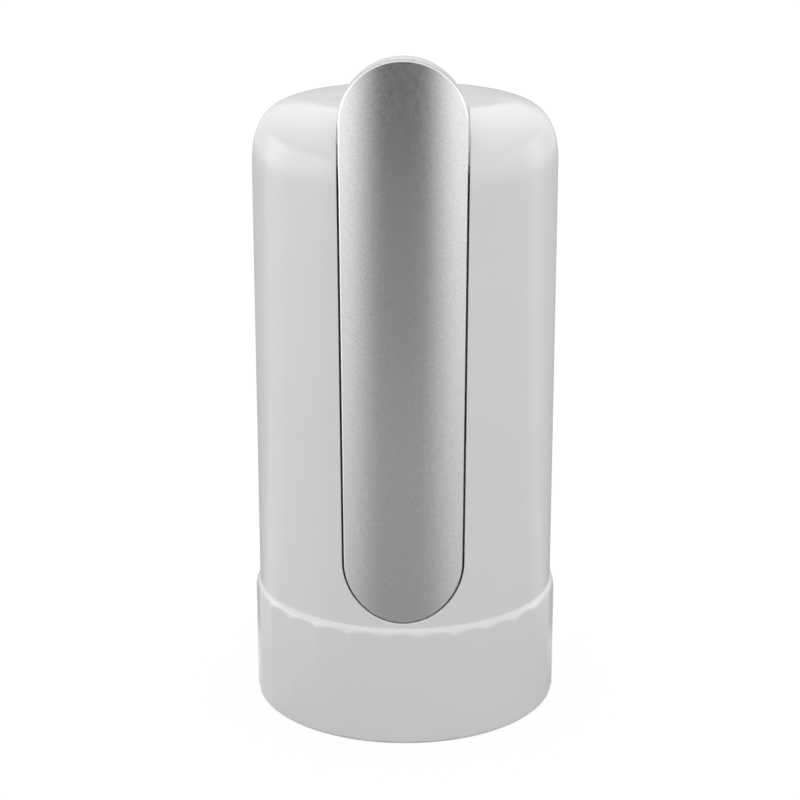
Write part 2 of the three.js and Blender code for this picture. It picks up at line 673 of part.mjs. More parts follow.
const frame = cut(
  join(extrudeZ(frameOutline, frameFloor, frameTop), spine, motorClamp, batteryClamp, ...boardPosts),
  barAt(motorRadius + gap, pumpX, pumpY, motorFoot - gap, frameTop + overrun),
  barAt(motorRadius - motorWall - gap, pumpX, pumpY, frameFloor - overrun, frameTop + overrun),
  barAt(batteryRadius + gap, batteryX, batteryY, batteryFoot - gap, frameTop + overrun),
  barAt(hoseHoleRadius, hoseCrossX, hoseCrossY, frameFloor - overrun, frameTop + overrun, holeSides),
  ...framePostHoles, ...boardPostHoles,
);
add('inner_frame', frame, greyPlastic);
postPlaces.forEach(([x, y], i) => {
  const body = screw(smallScrewRadius, smallScrewHead, smallScrewHeadThick, smallScrewLength).rotate([180, 0, 0]).translate([x, y, frameTop + gap]);
  add(`frame_screw_${i + 1}`, body, steel);
});

// Motor: open can, end cap with its terminals, and the shaft with armature and eccentric
const canTop = motorFoot + motorLength;
const capTop = motorFoot + motorCapThick;
const can = cut(
  join(barAt(motorRadius, pumpX, pumpY, motorFoot, canTop), barAt(bearingRadius, pumpX, pumpY, canTop - motorWall, canTop + bearingHeight, holeSides)),
  barAt(motorRadius - motorWall, pumpX, pumpY, motorFoot - overrun, canTop - motorWall),
  barAt(shaftRadius + runGap, pumpX, pumpY, canTop - overrun, canTop + bearingHeight + overrun, screwSides),
);
add('motor_can', can, steel);
const terminalSlots = [-1, 1].map((side) => block(pumpX + side * terminalSide - terminalThick / 2 - gap, pumpX + side * terminalSide + terminalThick / 2 + gap,
  pumpY - terminalWide / 2 - gap, pumpY + terminalWide / 2 + gap, motorFoot - overrun, capTop + overrun));
const endCap = cut(
  barAt(motorRadius - motorWall - gap, pumpX, pumpY, motorFoot, capTop),
  barAt(shaftRadius + runGap, pumpX, pumpY, motorFoot - overrun, capTop + overrun, screwSides),
  ...terminalSlots,
);
add('motor_end_cap', endCap, blackPlastic);
[-1, 1].forEach((side, i) => {
  const x = pumpX + side * terminalSide;
  add(`motor_terminal_${i + 1}`, block(x - terminalThick / 2, x + terminalThick / 2, pumpY - terminalWide / 2, pumpY + terminalWide / 2, motorFoot - terminalReach, capTop), brass);
});

// Pump: body round the eccentric and yoke, diaphragm, valve plate and head cover with its two ports
const pumpFoot = canTop + gap;
const pumpTop = pumpFoot + pumpBodyLength;
const eccentricFoot = canTop + bearingHeight + 2 * gap;
const eccentricTop = eccentricFoot + eccentricThick;
const pumpScrewPlaces = Array.from({ length: pumpScrews }, (_, i) => {
  const turn = degrees(pumpScrewTurn + (360 * i) / pumpScrews);
  return [pumpX + pumpScrewRing * Math.cos(turn), pumpY + pumpScrewRing * Math.sin(turn)];
});
const pumpBosses = pumpScrewPlaces.map(([x, y]) => barAt(smallScrewRadius + runGap + smallScrewHead / 2, x, y, pumpFoot, pumpTop, screwSides));
const pumpScrewWay = (z0, z1) => pumpScrewPlaces.map(([x, y]) => barAt(smallScrewRadius + runGap, x, y, z0, z1, screwSides));
const pumpBody = cut(
  join(cut(barAt(pumpRadius, pumpX, pumpY, pumpFoot, pumpTop), barAt(pumpRadius - pumpWall, pumpX, pumpY, pumpFoot + pumpWall, pumpTop + overrun)),
    ...pumpBosses.map((b) => b.intersect(barAt(pumpRadius, pumpX, pumpY, pumpFoot, pumpTop)))),
  barAt(bearingRadius + gap, pumpX, pumpY, pumpFoot - overrun, pumpFoot + pumpWall + overrun, holeSides),
  ...pumpScrewWay(pumpFoot + pumpWall, pumpTop + overrun),
);
add('pump_body', pumpBody, blackPlastic);
const cupFootZ = eccentricTop + gap;
const yokeTop = pumpTop - gap;
const yoke = cut(
  join(barAt(yokeCup + yokeWall, pumpX, pumpY, cupFootZ, yokeTop, holeSides), barAt(yokePlate - yokeWall * 2, pumpX, pumpY, yokeTop - yokePlateThick, yokeTop, holeSides)),
  barAt(yokeCup, pumpX, pumpY, cupFootZ - overrun, yokeTop - yokePlateThick - yokeRoof, holeSides),
);
add('pump_yoke', yoke, white);
const shaft = barAt(shaftRadius, pumpX, pumpY, motorFoot - terminalReach / 2, eccentricTop - gap, screwSides);
add('motor_shaft', shaft, steel);
const armature = barAt(armatureRadius, pumpX, pumpY, motorFoot + armatureShort, canTop - armatureShort)
  .subtract(barAt(shaftRadius + runGap, pumpX, pumpY, motorFoot, canTop, screwSides));
add('motor_armature', armature, steel);
const eccentric = cut(
  join(barAt(eccentricRadius, pumpX, pumpY, eccentricFoot, eccentricTop, holeSides),
    barAt(eccentricPin, pumpX + eccentricOffset, pumpY, eccentricTop - eccentricPin, eccentricTop + eccentricPinReach, screwSides)),
  barAt(shaftRadius + runGap, pumpX, pumpY, eccentricFoot - overrun, eccentricTop - gap + runGap, screwSides),
);
add('pump_eccentric', eccentric, blackPlastic);

const diaphragmFoot = pumpTop + gap;
const diaphragmTop = diaphragmFoot + diaphragmThick;
const cupDrop = Array.from({ length: yokeArms }, (_, i) => {
  const turn = degrees(pumpScrewTurn + 180 / pumpScrews + (360 * i) / yokeArms);
  return [pumpX + diaphragmRing * Math.cos(turn), pumpY + diaphragmRing * Math.sin(turn)];
});
const diaphragm = cut(
  barAt(pumpRadius, pumpX, pumpY, diaphragmFoot, diaphragmTop),
  ...cupDrop.map(([x, y]) => barAt(diaphragmCup, x, y, diaphragmFoot + diaphragmThick / 2, diaphragmTop + overrun, screwSides)),
  ...pumpScrewWay(diaphragmFoot - overrun, diaphragmTop + overrun),
);
add('pump_diaphragm', diaphragm, rubber);
const plateFoot = diaphragmTop + gap;
const plateTop = plateFoot + valvePlateThick;
const valvePlate = cut(
  barAt(pumpRadius, pumpX, pumpY, plateFoot, plateTop),
  ...cupDrop.map(([x, y]) => barAt(valveHole, x, y, plateFoot - overrun, plateTop + overrun, screwSides)),
  ...pumpScrewWay(plateFoot - overrun, plateTop + overrun),
);
add('pump_valve_plate', valvePlate, white);
const headFoot = plateTop + gap;
const headTop = headFoot + headThick;
const outletAngle = degrees(outletTurn);
const outletX = pumpX + outletRing * Math.cos(outletAngle);
const outletY = pumpY + outletRing * Math.sin(outletAngle);
const sideZ = headFoot + headThick / 2;
const sideBar = (radius, r0, r1) => bar(radius, r0, r1, screwSides).rotate([0, 90, 0]).rotate([0, 0, inletTurn]).translate([pumpX, pumpY, sideZ]);
const headCover = cut(
  join(
    barAt(pumpRadius, pumpX, pumpY, headFoot, headTop - headStep),
    barAt(pumpRadius - headStep, pumpX, pumpY, headFoot, headTop),
    barAt(portRadius, outletX, outletY, headTop - headStep, headTop + outletReach, screwSides),
    sideBar(portRadius, pumpRadius - pumpWall, pumpRadius + sideInletReach),
  ),
  barAt(portBore, outletX, outletY, headFoot - overrun, headTop + outletReach + overrun, screwSides),
  sideBar(portBore, diaphragmRing, pumpRadius + sideInletReach + overrun),
  ...pumpScrewWay(headFoot - overrun, headTop + overrun),
  ...pumpScrewPlaces.map(([x, y]) => barAt(smallScrewHead + gap, x, y, headTop - smallScrewHeadThick, headTop + overrun, screwSides)),
);
add('pump_head_cover', headCover, blackPlastic);
pumpScrewPlaces.forEach(([x, y], i) => {
  const body = screw(smallScrewRadius, smallScrewHead, smallScrewHeadThick, pumpScrewLength).rotate([180, 0, 0]).translate([x, y, headTop - smallScrewHeadThick + gap]);
  add(`pump_screw_${i + 1}`, body, steel);
});

// Suction tube from the inlet up beside the works and into the side port
const bend = columnRing - pumpRadius - sideInletReach;
const portEnd = (reach) => [pumpX + reach * Math.cos(columnTurn), pumpY + reach * Math.sin(columnTurn), sideZ];
const suctionPoints = [
  ...suctionWay,
  [columnX, columnY, sideZ - bend],
  [pumpX + (columnRing - bend * bendShare) * Math.cos(columnTurn), pumpY + (columnRing - bend * bendShare) * Math.sin(columnTurn), sideZ - bend * bendShare],
  portEnd(columnRing - bend),
  portEnd(pumpRadius + gap),
];
add('suction_tube', tube(suctionPoints, hoseRadius, hoseBore, suctionSteps), clearSilicone);

// Battery cell with its raised pole
const batteryTop = batteryFoot + batteryLength;
add('battery_cell', barAt(batteryRadius, batteryX, batteryY, batteryFoot, batteryTop), wrap);
add('battery_terminal', barAt(batteryCapRadius, batteryX, batteryY, batteryTop + gap, batteryTop + gap + batteryCapHigh, holeSides), steel);

// Control board on the spine
const boardBack = boardFront + boardThick;
const control = cut(
  block(-boardWide / 2, boardWide / 2, boardFront, boardBack, boardLow, boardLow + boardHigh),
  ...boardPostPlaces.map(([x, z]) => barY(smallScrewRadius + runGap, boardFront - overrun, boardBack + overrun, x, z, screwSides)),
);
add('control_board', control, boardGreen);
boardPostPlaces.forEach(([x, z], i) => {
  const body = screw(smallScrewRadius, smallScrewHead, smallScrewHeadThick, smallScrewLength).rotate([90, 0, 0]).translate([x, boardBack + gap, z]);
  add(`board_screw_${i + 1}`, body, steel);
});
const boardMiddle = boardLow + boardHigh / 2;
const partFoot = boardBack + gap;
add('board_chip', block(-chipSide / 2, chipSide / 2, partFoot, partFoot + chipThick, boardMiddle - chipSide / 2, boardMiddle + chipSide / 2), blackPlastic);
add('board_inductor', barY(inductorRadius, partFoot, partFoot + inductorHigh, 0, boardLow + boardHigh / 4, holeSides), rubber);
add('board_capacitor', barY(capacitorRadius, partFoot, partFoot + capacitorHigh, 0, boardLow + boardHigh * 3 / 4, screwSides), steel);

// Charging socket on its own small board, at the opening in the back
const chargeFront = chargeBoardBack - chargeBoardDeep;
add('charge_board', block(-chargeBoardWide / 2, chargeBoardWide / 2, chargeFront, chargeBoardBack, chargeBoardZ, chargeBoardZ + boardThick), boardGreen);
const usbMouth = bodyRadius - usbRecess;
const usbShape = roundedRect(usbWide, usbHigh, usbHigh / 2 - usbWall / 2, 0, usbZ);
const usbHollow = roundedRect(usbWide - 2 * usbWall, usbHigh - 2 * usbWall, usbHigh / 2 - usbWall * 1.5, 0, usbZ);
const usb = join(
  cut(extrudeY(usbShape, usbMouth - usbDeep, usbMouth, holeSides / 4), extrudeY(usbHollow, usbMouth - usbDeep + usbWall * 2, usbMouth + overrun, holeSides / 4)),
  block(-usbTongueWide / 2, usbTongueWide / 2, usbMouth - usbDeep + usbWall, usbMouth - usbWall * 2, usbZ - usbTongueThick / 2, usbZ + usbTongueThick / 2),
);
add('usb_socket', usb, steel);

// Power button with its light ring, switch and switch board
const ringFoot = roofUnder - gap - lightRingFlangeThick;
const lightRing = revolve([
  [ringInner, ringFoot], [ringOuter + lightRingFlange, ringFoot], [ringOuter + lightRingFlange, roofUnder - gap],
  [ringOuter, roofUnder - gap], [ringOuter, bodyTop], [ringInner, bodyTop],
], drumSides).translate([0, buttonY, 0]);
add('light_ring', lightRing, lens);
const buttonTop = bodyTop + buttonProud;
const buttonFoot = buttonTop - buttonHeight;
const buttonFlangeTop = ringFoot - buttonStop;
const buttonProfile = [
  [0, buttonTop - buttonDish], [buttonDishRadius * 0.7, buttonTop - buttonDish * 0.5], [buttonDishRadius, buttonTop], [buttonRadius - buttonDish, buttonTop],
  [buttonRadius, buttonTop - buttonDish], [buttonRadius, buttonFlangeTop], [buttonRadius + buttonFlange, buttonFlangeTop],
  [buttonRadius + buttonFlange, buttonFlangeTop - buttonFlangeThick], [buttonRadius - buttonWall, buttonFlangeTop - buttonFlangeThick],
  [buttonRadius - buttonWall, buttonTop - buttonWall * 1.5], [plungerRadius + buttonWall, buttonTop - buttonWall * 1.5],
  [plungerRadius + buttonWall, buttonFoot], [0, buttonFoot],
].reverse();
add('power_button', revolve(buttonProfile, drumSides).translate([0, buttonY, 0]), white);
const switchFoot = switchBoardTop + gap;
const switchTop = switchFoot + switchHeight;
const plungerFoot = switchTop - plungerWell + buttonTravel + gap / 2;
add('tact_plunger', barAt(plungerRadius, 0, buttonY, plungerFoot, buttonFoot - gap, screwSides), blackPlastic);
const tact = block(-switchSide / 2, switchSide / 2, buttonY - switchSide / 2, buttonY + switchSide / 2, switchFoot, switchTop)
  .subtract(barAt(plungerRadius + runGap, 0, buttonY, switchTop - plungerWell, switchTop + overrun, screwSides));
add('tact_switch', tact, blackPlastic);
const switchBoard = cut(
  extrudeZ(roundedRect(switchBoardHalf * 2, switchBoardDepth, switchSide / 2, 0, buttonY), switchBoardTop - boardThick, switchBoardTop, holeSides / 4),
  ...[-1, 1].map((side) => barAt(smallScrewRadius + runGap, side * switchScrewSide, buttonY, switchBoardTop - overrun, switchBoardTop + overrun, screwSides)),
);
add('switch_board', switchBoard, boardGreen);
add('indicator_led', block(ledSide - ledWide / 2, ledSide + ledWide / 2, buttonY - ledWide / 2, buttonY + ledWide / 2, switchFoot, switchFoot + ledHigh), lens);
[-1, 1].forEach((side, i) => {
  const body = screw(smallScrewRadius, smallScrewHead, smallScrewHeadThick, smallScrewLength).translate([side * switchScrewSide, buttonY, switchBoardTop - boardThick - gap]);
  add(`switch_screw_${i + 1}`, body, steel);
});

// Hinge manifold: the fixed middle knuckle that water enters, with its stem, nut and sealing rings
const manifoldBore = journalRadius + runGap;
const manifold = cut(
  join(barX(manifoldRadius, -manifoldHalf, manifoldHalf, hingeY, hingeZ, holeSides),
    onStemLine(bar(stemRadius, 0, stemPadReach + gap + nutThick, holeSides)),
    onStemLine(bar(barbRadius, stemPadReach + nutThick, stemPadReach + gap + nutThick + barbLength, holeSides))),
  barX(manifoldBore, manifoldHalf - manifoldBoreDepth, manifoldHalf + overrun, hingeY, hingeZ, holeSides),
  barX(manifoldBore, -manifoldHalf - overrun, -manifoldHalf + manifoldBoreDepth, hingeY, hingeZ, holeSides),
  barX(stemBore, 0, manifoldHalf, hingeY, hingeZ, screwSides),
  onStemLine(bar(stemBore - runGap, 0, stemPadReach + nutThick + barbLength + overrun, screwSides)),
);
add('hinge_manifold', manifold, white);
const manifoldNut = onStemLine(bar(nutAcross / 2, stemPadReach + gap, stemPadReach + gap + nutThick, 6)
  .subtract(bar(stemRadius + runGap, stemPadReach - overrun, stemPadReach + nutThick + overrun, holeSides)));
add('manifold_nut', manifoldNut, blackPlastic);

// Delivery tube from the pump's outlet to the manifold's barb
const alongStem = (s) => [0, hingeY + s * stemWay, hingeZ - s * stemWay];
const deliveryPoints = [
  [outletX, outletY, headTop + gap],
  [outletX, outletY, headTop + outletReach / 2],
  [outletX, outletY, headTop + outletReach + deliveryStraight],
  alongStem(stemPadReach + nutThick + barbLength + stemStraight),
  alongStem(stemPadReach + nutThick + barbLength),
  alongStem(stemPadReach + nutThick + 2 * gap),
];
add('delivery_tube', tube(deliveryPoints, hoseRadius, hoseBore, deliverySteps), clearSilicone);

// Spout arm: silver cover over a hollow housing
const armFront = revolve([[0, 0], [bodyRadius, 0], [bodyRadius, bodyTop + armTail * 2], [0, bodyTop + armTail * 2]], bodySides, bodyTurn);
const coverBack = revolve([[0, -overrun], [bodyRadius - armCoverThick, -overrun], [bodyRadius - armCoverThick, bodyTop + armTail * 3], [0, bodyTop + armTail * 3]], bodySides, bodyTurn);
const armOut = (inset) => armOutline(armHalfTop - inset, armHalfFoot - inset, slotFootZ, hingeZ, armTailZ);
const armBlank = (inset, y1) => extrudeY(armOut(inset), -(bodyRadius + overrun), y1);
const cover = coverForm();
function coverForm() {
  const rim = revolve([[0, 0], [bodyRadius - armCoverEdge, 0], [bodyRadius - armCoverEdge, bodyTop + armTail * 2], [0, bodyTop + armTail * 2]], bodySides, bodyTurn);
  const face = armBlank(armCoverEdge, hingeY).intersect(armFront);
  const body = armBlank(0, hingeY).intersect(rim);
  return face.add(body).subtract(coverBack);
}
const armScrewPlaces = [[-armScrewSide, hingeZ - armScrewDrop], [armScrewSide, slotFootZ + armScrewDrop]];
const coverBossBack = armBackY - armWall - gap;
const coverBosses = armScrewPlaces.map(([x, z]) => barY(armBossRadius, -(bodyRadius - armCoverThick), coverBossBack, x, z, holeSides).intersect(armFront));
const coverBossHoles = armScrewPlaces.map(([x, z]) => barY(smallScrewRadius + runGap, coverBossBack - smallScrewLength * holeDepthShare, coverBossBack + overrun, x, z, screwSides));
add('spout_cover', cut(join(cover, ...coverBosses), ...coverBossHoles), silver);

const journalX = knuckleInner + spoutTubeRadius + gap;
const tubeY = armBackY - armWall - gap - spoutTubeRadius;
const spigotZ = hingeZ - (hingeY - tubeY);
const spigotFoot = spigotZ - spoutTubeRadius;
// Lays a form made along Z on the journal's port, which points down and forward into the arm.
function onPortLine(body) {
  return body.rotate([135, 0, 0]).translate([journalX, hingeY, hingeZ]);
}
const housingFront = revolve([[0, -overrun], [bodyRadius - armCoverThick - gap, -overrun], [bodyRadius - armCoverThick - gap, bodyTop + armTail * 3], [0, bodyTop + armTail * 3]], bodySides, bodyTurn);
const housingBlank = join(armBlank(0, armBackY - armBackEdge), armBlank(armBackEdge * backEdgeShare, armBackY - armBackEdge * backEdgeShare), armBlank(armBackEdge, armBackY));
const knuckles = [-1, 1].map((side) => barX(knuckleRadius, Math.min(side * knuckleInner, side * armHalfTop), Math.max(side * knuckleInner, side * armHalfTop), hingeY, hingeZ));
const hollow = extrudeY(armOut(armWall), -(bodyRadius + overrun), armBackY - armWall);
const spigot = join(
  block(knuckleInner, armHalfTop - armWall / 2, tubeY - spoutTubeRadius, armBackY, spigotFoot, hingeZ),
  barAt(nozzleStubRadius, journalX, tubeY, spigotFoot - nozzleStub, spigotZ, screwSides),
).intersect(housingFront);
const housing = cut(
  join(cut(housingBlank.intersect(housingFront), hollow), ...knuckles, spigot),
  barX(manifoldRadius + troughGap, -knuckleInner, knuckleInner, hingeY, hingeZ),
  barX(journalRadius + runGap, -armHalfTop - overrun, armHalfTop + overrun, hingeY, hingeZ, holeSides),
  barY(nozzleRadius + runGap, armBackY - armWall - overrun, armBackY + overrun, 0, nozzleZ, holeSides),
  onPortLine(bar(journalBore, 0, (hingeY - tubeY) / stemWay, screwSides)),
  barAt(nozzleStubRadius - nozzleWall / 2, journalX, tubeY, spigotFoot - nozzleStub - overrun, spigotZ, screwSides),
  ...armScrewPlaces.map(([x, z]) => barY(smallScrewRadius + runGap, armBackY - armWall - overrun, armBackY + overrun, x, z, screwSides)),
);
add('spout_housing', housing, white);
armScrewPlaces.forEach(([x, z], i) => {
  const body = screw(smallScrewRadius, smallScrewHead, smallScrewHeadThick * flushHeadShare, smallScrewLength).rotate([90, 0, 0]);
  add(`spout_screw_${i + 1}`, body.translate([x, armBackY + flushHeadShow, z]), steel);
});

// Journal that carries water into the arm on one side, and the plain pin on the other
const innerEnd = manifoldHalf - manifoldBoreDepth + gap;
const outerEnd = slotHalfTop + journalDepth;
const journal = cut(
  barX(journalRadius, innerEnd, outerEnd, hingeY, hingeZ, holeSides),
  barX(journalBore, innerEnd - overrun, journalX + journalBore, hingeY, hingeZ, screwSides),
  onPortLine(bar(journalBore, 0, journalRadius + overrun, screwSides)),
);
add('hinge_journal', journal, steel);
add('pivot_pin', barX(journalRadius, -outerEnd, -innerEnd, hingeY, hingeZ, holeSides), steel);

// Tube inside the arm, from the journal to the nozzle
const stubFoot = nozzleZ + nozzleRadius;
const spoutPoints = [
  [journalX, tubeY, spigotFoot - gap],
  [journalX, tubeY, spigotFoot - nozzleStub - tubeStraight],
  [journalX * swerveShare, tubeY, hingeZ - armScrewDrop - swerveDrop],
  [0, tubeY, hingeZ - armScrewDrop - swerveEndDrop],
  [0, tubeY, stubFoot + nozzleStub + tubeStraight],
  [0, tubeY, stubFoot + gap],
];
add('spout_tube', tube(spoutPoints, spoutTubeRadius, spoutTubeBore, spoutSteps), clearSilicone);
const nozzleBack = tubeY - spoutTubeRadius;
const nozzleProfile = [
  [0, 0], [nozzleRadius, 0], [nozzleRadius, nozzleTipY - nozzleBack - nozzleLip * 2],
  [nozzleRadius + nozzleLip / 2, nozzleTipY - nozzleBack - nozzleLip], [nozzleRadius, nozzleTipY - nozzleBack], [nozzleBore, nozzleTipY - nozzleBack],
  [nozzleBore, nozzleWall], [0, nozzleWall],
];
const nozzle = cut(
  revolve(nozzleProfile, drumSides).rotate([-90, 0, 0]).translate([0, nozzleBack, nozzleZ])
    .add(barAt(nozzleStubRadius, 0, tubeY, nozzleZ + nozzleBore + nozzleWall / 2, stubFoot + nozzleStub, screwSides)),
  barAt(nozzleStubRadius - nozzleWall / 2, 0, tubeY, nozzleZ, stubFoot + nozzleStub + overrun, screwSides),
);
add('spout_nozzle', nozzle, steel);

export default group;
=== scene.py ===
"""Electric water jug pump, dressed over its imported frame: shells, spout arm, button, base and studio."""
import math

import bmesh
import bpy
from bpy.props import FloatProperty, FloatVectorProperty, IntProperty, PointerProperty
from mathutils import Matrix, Vector
from mathutils.geometry import intersect_point_line


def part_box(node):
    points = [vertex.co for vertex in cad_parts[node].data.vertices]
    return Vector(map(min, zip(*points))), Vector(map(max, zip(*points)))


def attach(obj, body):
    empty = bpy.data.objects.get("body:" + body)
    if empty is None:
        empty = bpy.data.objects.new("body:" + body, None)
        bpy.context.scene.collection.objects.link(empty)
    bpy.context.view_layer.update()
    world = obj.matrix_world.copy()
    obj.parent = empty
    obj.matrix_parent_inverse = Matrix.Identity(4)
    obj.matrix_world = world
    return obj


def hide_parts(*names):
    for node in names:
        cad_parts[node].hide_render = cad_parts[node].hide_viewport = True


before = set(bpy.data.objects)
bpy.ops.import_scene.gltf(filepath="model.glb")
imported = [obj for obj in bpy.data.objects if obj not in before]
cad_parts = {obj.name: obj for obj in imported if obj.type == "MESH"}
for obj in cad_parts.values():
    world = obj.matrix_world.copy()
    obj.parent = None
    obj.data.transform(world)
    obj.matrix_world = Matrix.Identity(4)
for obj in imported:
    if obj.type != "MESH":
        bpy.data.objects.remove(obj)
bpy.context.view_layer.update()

bl_info = {
    "name": "Electric water jug pump",
    "version": (1, 0, 0),
    "blender": (4, 5, 0),
    "location": "3D View > Sidebar > Jug Pump",
    "description": "Models the visible pieces of an electric water jug pump round its packed frame",
    "category": "Object",
}

MM = 0.001
TURN = 2 * math.pi
WELD = 2e-6              # vertices nearer than this are merged
NEAR = 0.02 * MM         # how far from a face a vertex may lie that still counts as on it
OVERRUN = 5 * MM         # how far a cutting piece stands past what it cuts
GAP = 0.3 * MM           # between pieces that touch
RUN_GAP = 0.25 * MM      # round a shaft or a screw
SHORT_EDGE = 0.25 * MM   # edges shorter than this are kept off the rims
FLAT = 0.9999            # a normal's least share along the axis that a face lies across
RIM_ROOM = 0.12 * MM     # kept clear of meridians beyond a rounded rim
SMOOTH = math.radians(32)
EASE = 0.3               # where the middle point of an eased corner lies, as a share of its size
HOLE_SIDES, SCREW_SIDES, BORE_SIDES, HINGE_SIDES, ROUND_SIDES = 24, 36, 48, 72, 96
BAR_SIDES, SMALL_SIDES, TRAY_SIDES, GRIP_SIDES, ARM_SIDES = 32, 64, 108, 120, 150
FORM_SIDES = 360         # of the uncut forms that lend their normals
BODY, ARM, BUTTON = "pump_body_group", "spout_arm", "button"


# Sizes and finishes that a user would change

def length(name, text, default):
    return FloatProperty(name=name, description=text, default=default, min=0.0, precision=5, unit="LENGTH")


def colour(name, text, default):
    return FloatVectorProperty(name=name, description=text, default=default, size=3, min=0.0, max=1.0, subtype="COLOR")


class JugPumpShell(bpy.types.PropertyGroup):
    radius: length("Body radius", "Radius of the round body", 35 * MM)
    top: length("Top", "Height of the flat top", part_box("main_shell")[1].z)
    shoulder: length("Shoulder", "Reach and height of the rounded shoulder", 17 * MM)
    wall: length("Wall", "Thickness of the moulded wall", 2.4 * MM)
    facets: IntProperty(name="Skirt facets", description="Number of flats round the skirt", default=27, min=8)
    corner: length("Skirt corner", "Radius over the corners of the skirt's flats", 36.4 * MM)
    skirt_top: length("Skirt top", "Height at which the round body ends", 28.2 * MM)
    slot_top: length("Slot half width", "Half the slot's width beside the hinge", 14.35 * MM)
    slot_foot: length("Slot foot half width", "Half the slot's width at its round foot", 13.85 * MM)
    edge: length("Slot edge", "Radius of the slot's outer edge", 0.26 * MM)
    finish: colour("Shell colour", "Colour of the white moulded shell", (0.75, 0.752, 0.755))


class JugPumpArm(bpy.types.PropertyGroup):
    gap: length("Gap", "Gap between the arm and the slot", 0.4 * MM)
    cover: length("Cover", "Thickness of the metallic cover", 1.5 * MM)
    cover_edge: length("Cover edge", "Width of the bright edge round the cover", 0.35 * MM)
    back_edge: length("Back edge", "Radius of the housing's back edges", 2.6 * MM)
    finish: colour("Cover colour", "Colour of the satin metallic paint", (0.76, 0.76, 0.765))
    housing: colour("Housing colour", "Colour of the white housing", (0.76, 0.762, 0.765))


class JugPumpButton(bpy.types.PropertyGroup):
    radius: length("Button radius", "Radius of the power button", 6 * MM)
    proud: length("Proud", "How far the button stands above the top", 0.8 * MM)
    ring: length("Light ring", "Width of the light ring's face", 1.5 * MM)
    finish: colour("Button colour", "Colour of the button", (0.78, 0.78, 0.785))
    light: colour("Ring colour", "Colour of the milky light ring", (0.82, 0.86, 0.9))


class JugPumpStudio(bpy.types.PropertyGroup):
    level: FloatProperty(name="Room light", description="Strength of the even light all round", default=1.125, min=0.0)
    overhead: FloatProperty(name="Overhead light", description="Power of the overhead light in watts",
                            default=0.4, min=0.0)
    floor: colour("Floor colour", "Colour of the pale floor", (0.33, 0.33, 0.33))
    lens: FloatProperty(name="Lens", description="Focal length in millimetres", default=96.3, min=10.0)


# Working in object and edit mode

def alone(piece):
    """Selects one object and makes it active."""
    bpy.ops.object.select_all(action="DESELECT")
    piece.select_set(True)
    bpy.context.view_layer.objects.active = piece
    return piece


def edit(piece, kind="VERT"):
    """Opens one object in edit mode with nothing selected."""
    alone(piece)
    bpy.ops.object.mode_set(mode="EDIT")
    bpy.ops.mesh.select_mode(type=kind)
    bpy.ops.mesh.select_all(action="DESELECT")


def done():
    bpy.ops.object.mode_set(mode="OBJECT")


def every():
    bpy.ops.mesh.select_all(action="SELECT")


def choose(piece, kind, test):
    """Selects the vertices, edges or faces of the open mesh that pass the test."""
    bpy.ops.mesh.select_mode(type=kind)
    bpy.ops.mesh.select_all(action="DESELECT")
    mesh = bmesh.from_edit_mesh(piece.data)
    found = 0
    for part in {"VERT": mesh.verts, "EDGE": mesh.edges, "FACE": mesh.faces}[kind]:
        if test(part):
            part.select_set(True)
            found += 1
    mesh.select_flush_mode()
    bmesh.update_edit_mesh(piece.data)
    return found


def tidy():
    """Merges doubles and turns the faces outward. The mesh is open."""
    every()
    bpy.ops.mesh.remove_doubles(threshold=WELD)
    bpy.ops.mesh.normals_make_consistent(inside=False)


def named(name):
    """Names the object that was just added."""
    piece = bpy.context.object
    piece.name = piece.data.name = name
    return piece


def point(name):
    """Starts a piece: a plane merged to one vertex, open in edit mode."""
    bpy.ops.mesh.primitive_plane_add(size=MM, location=(0, 0, 0))
    piece = named(name)
    edit(piece)
    every()
    bpy.ops.mesh.merge(type="CENTER")
    return piece


def trace(points, closed=True):
    """Extrudes the selected vertex from point to point, and back to the first one."""
    bpy.ops.transform.translate(value=points[0])
    way = list(points) + ([points[0]] if closed else [])
    for a, b in zip(way, way[1:]):
        bpy.ops.mesh.extrude_vertices_move(TRANSFORM_OT_translate={"value": Vector(b) - Vector(a)})
    every()
    bpy.ops.mesh.remove_doubles(threshold=WELD)


def spin(steps):
    """Spins the selected line once round Z and closes the mesh."""
    bpy.ops.mesh.spin(steps=steps, angle=TURN, center=(0, 0, 0), axis=(0, 0, 1))
    tidy()
    done()


def turned(name, profile, steps):
    """A closed profile of (radius, height), spun round Z from the front. One from axis to axis stays open there."""
    piece = point(name)
    on_axis = profile[0][0] == 0 and profile[-1][0] == 0
    trace([Vector((0, -r, z)) for r, z in profile], closed=not on_axis)
    spin(steps)
    return piece


def place(x=0, y=0, z=0):
    return Matrix.Translation((x, y, z))


def tip(angle, axis="X"):
    return Matrix.Rotation(math.radians(angle), 4, axis)


def along_x(y, z):
    return place(0, y, z) @ tip(90, "Y")


def along_y(x, z):
    return place(x, 0, z) @ tip(-90, "X")


def freeze(piece):
    """Puts an object's transform into its mesh, which leaves the object at the origin."""
    alone(piece)
    bpy.ops.object.transform_apply(location=True, rotation=True, scale=True)
    return piece


def settle(piece, matrix):
    """Moves a piece by a matrix and puts its object back at the origin."""
    piece.matrix_world = matrix @ piece.matrix_world
    return freeze(piece)


def prism(name, outline, direction, a, b):
    """An outline filled and extruded along Y from a to b, or along Z."""
    piece = point(name)
    way = Vector((0, b - a, 0)) if direction == "Y" else Vector((0, 0, b - a))
    trace([Vector((u, a, v)) if direction == "Y" else Vector((u, v, a)) for u, v in outline])
    bpy.ops.mesh.edge_face_add()
    bpy.ops.mesh.extrude_region_move(TRANSFORM_OT_translate={"value": way})
    tidy()
    done()
    return piece


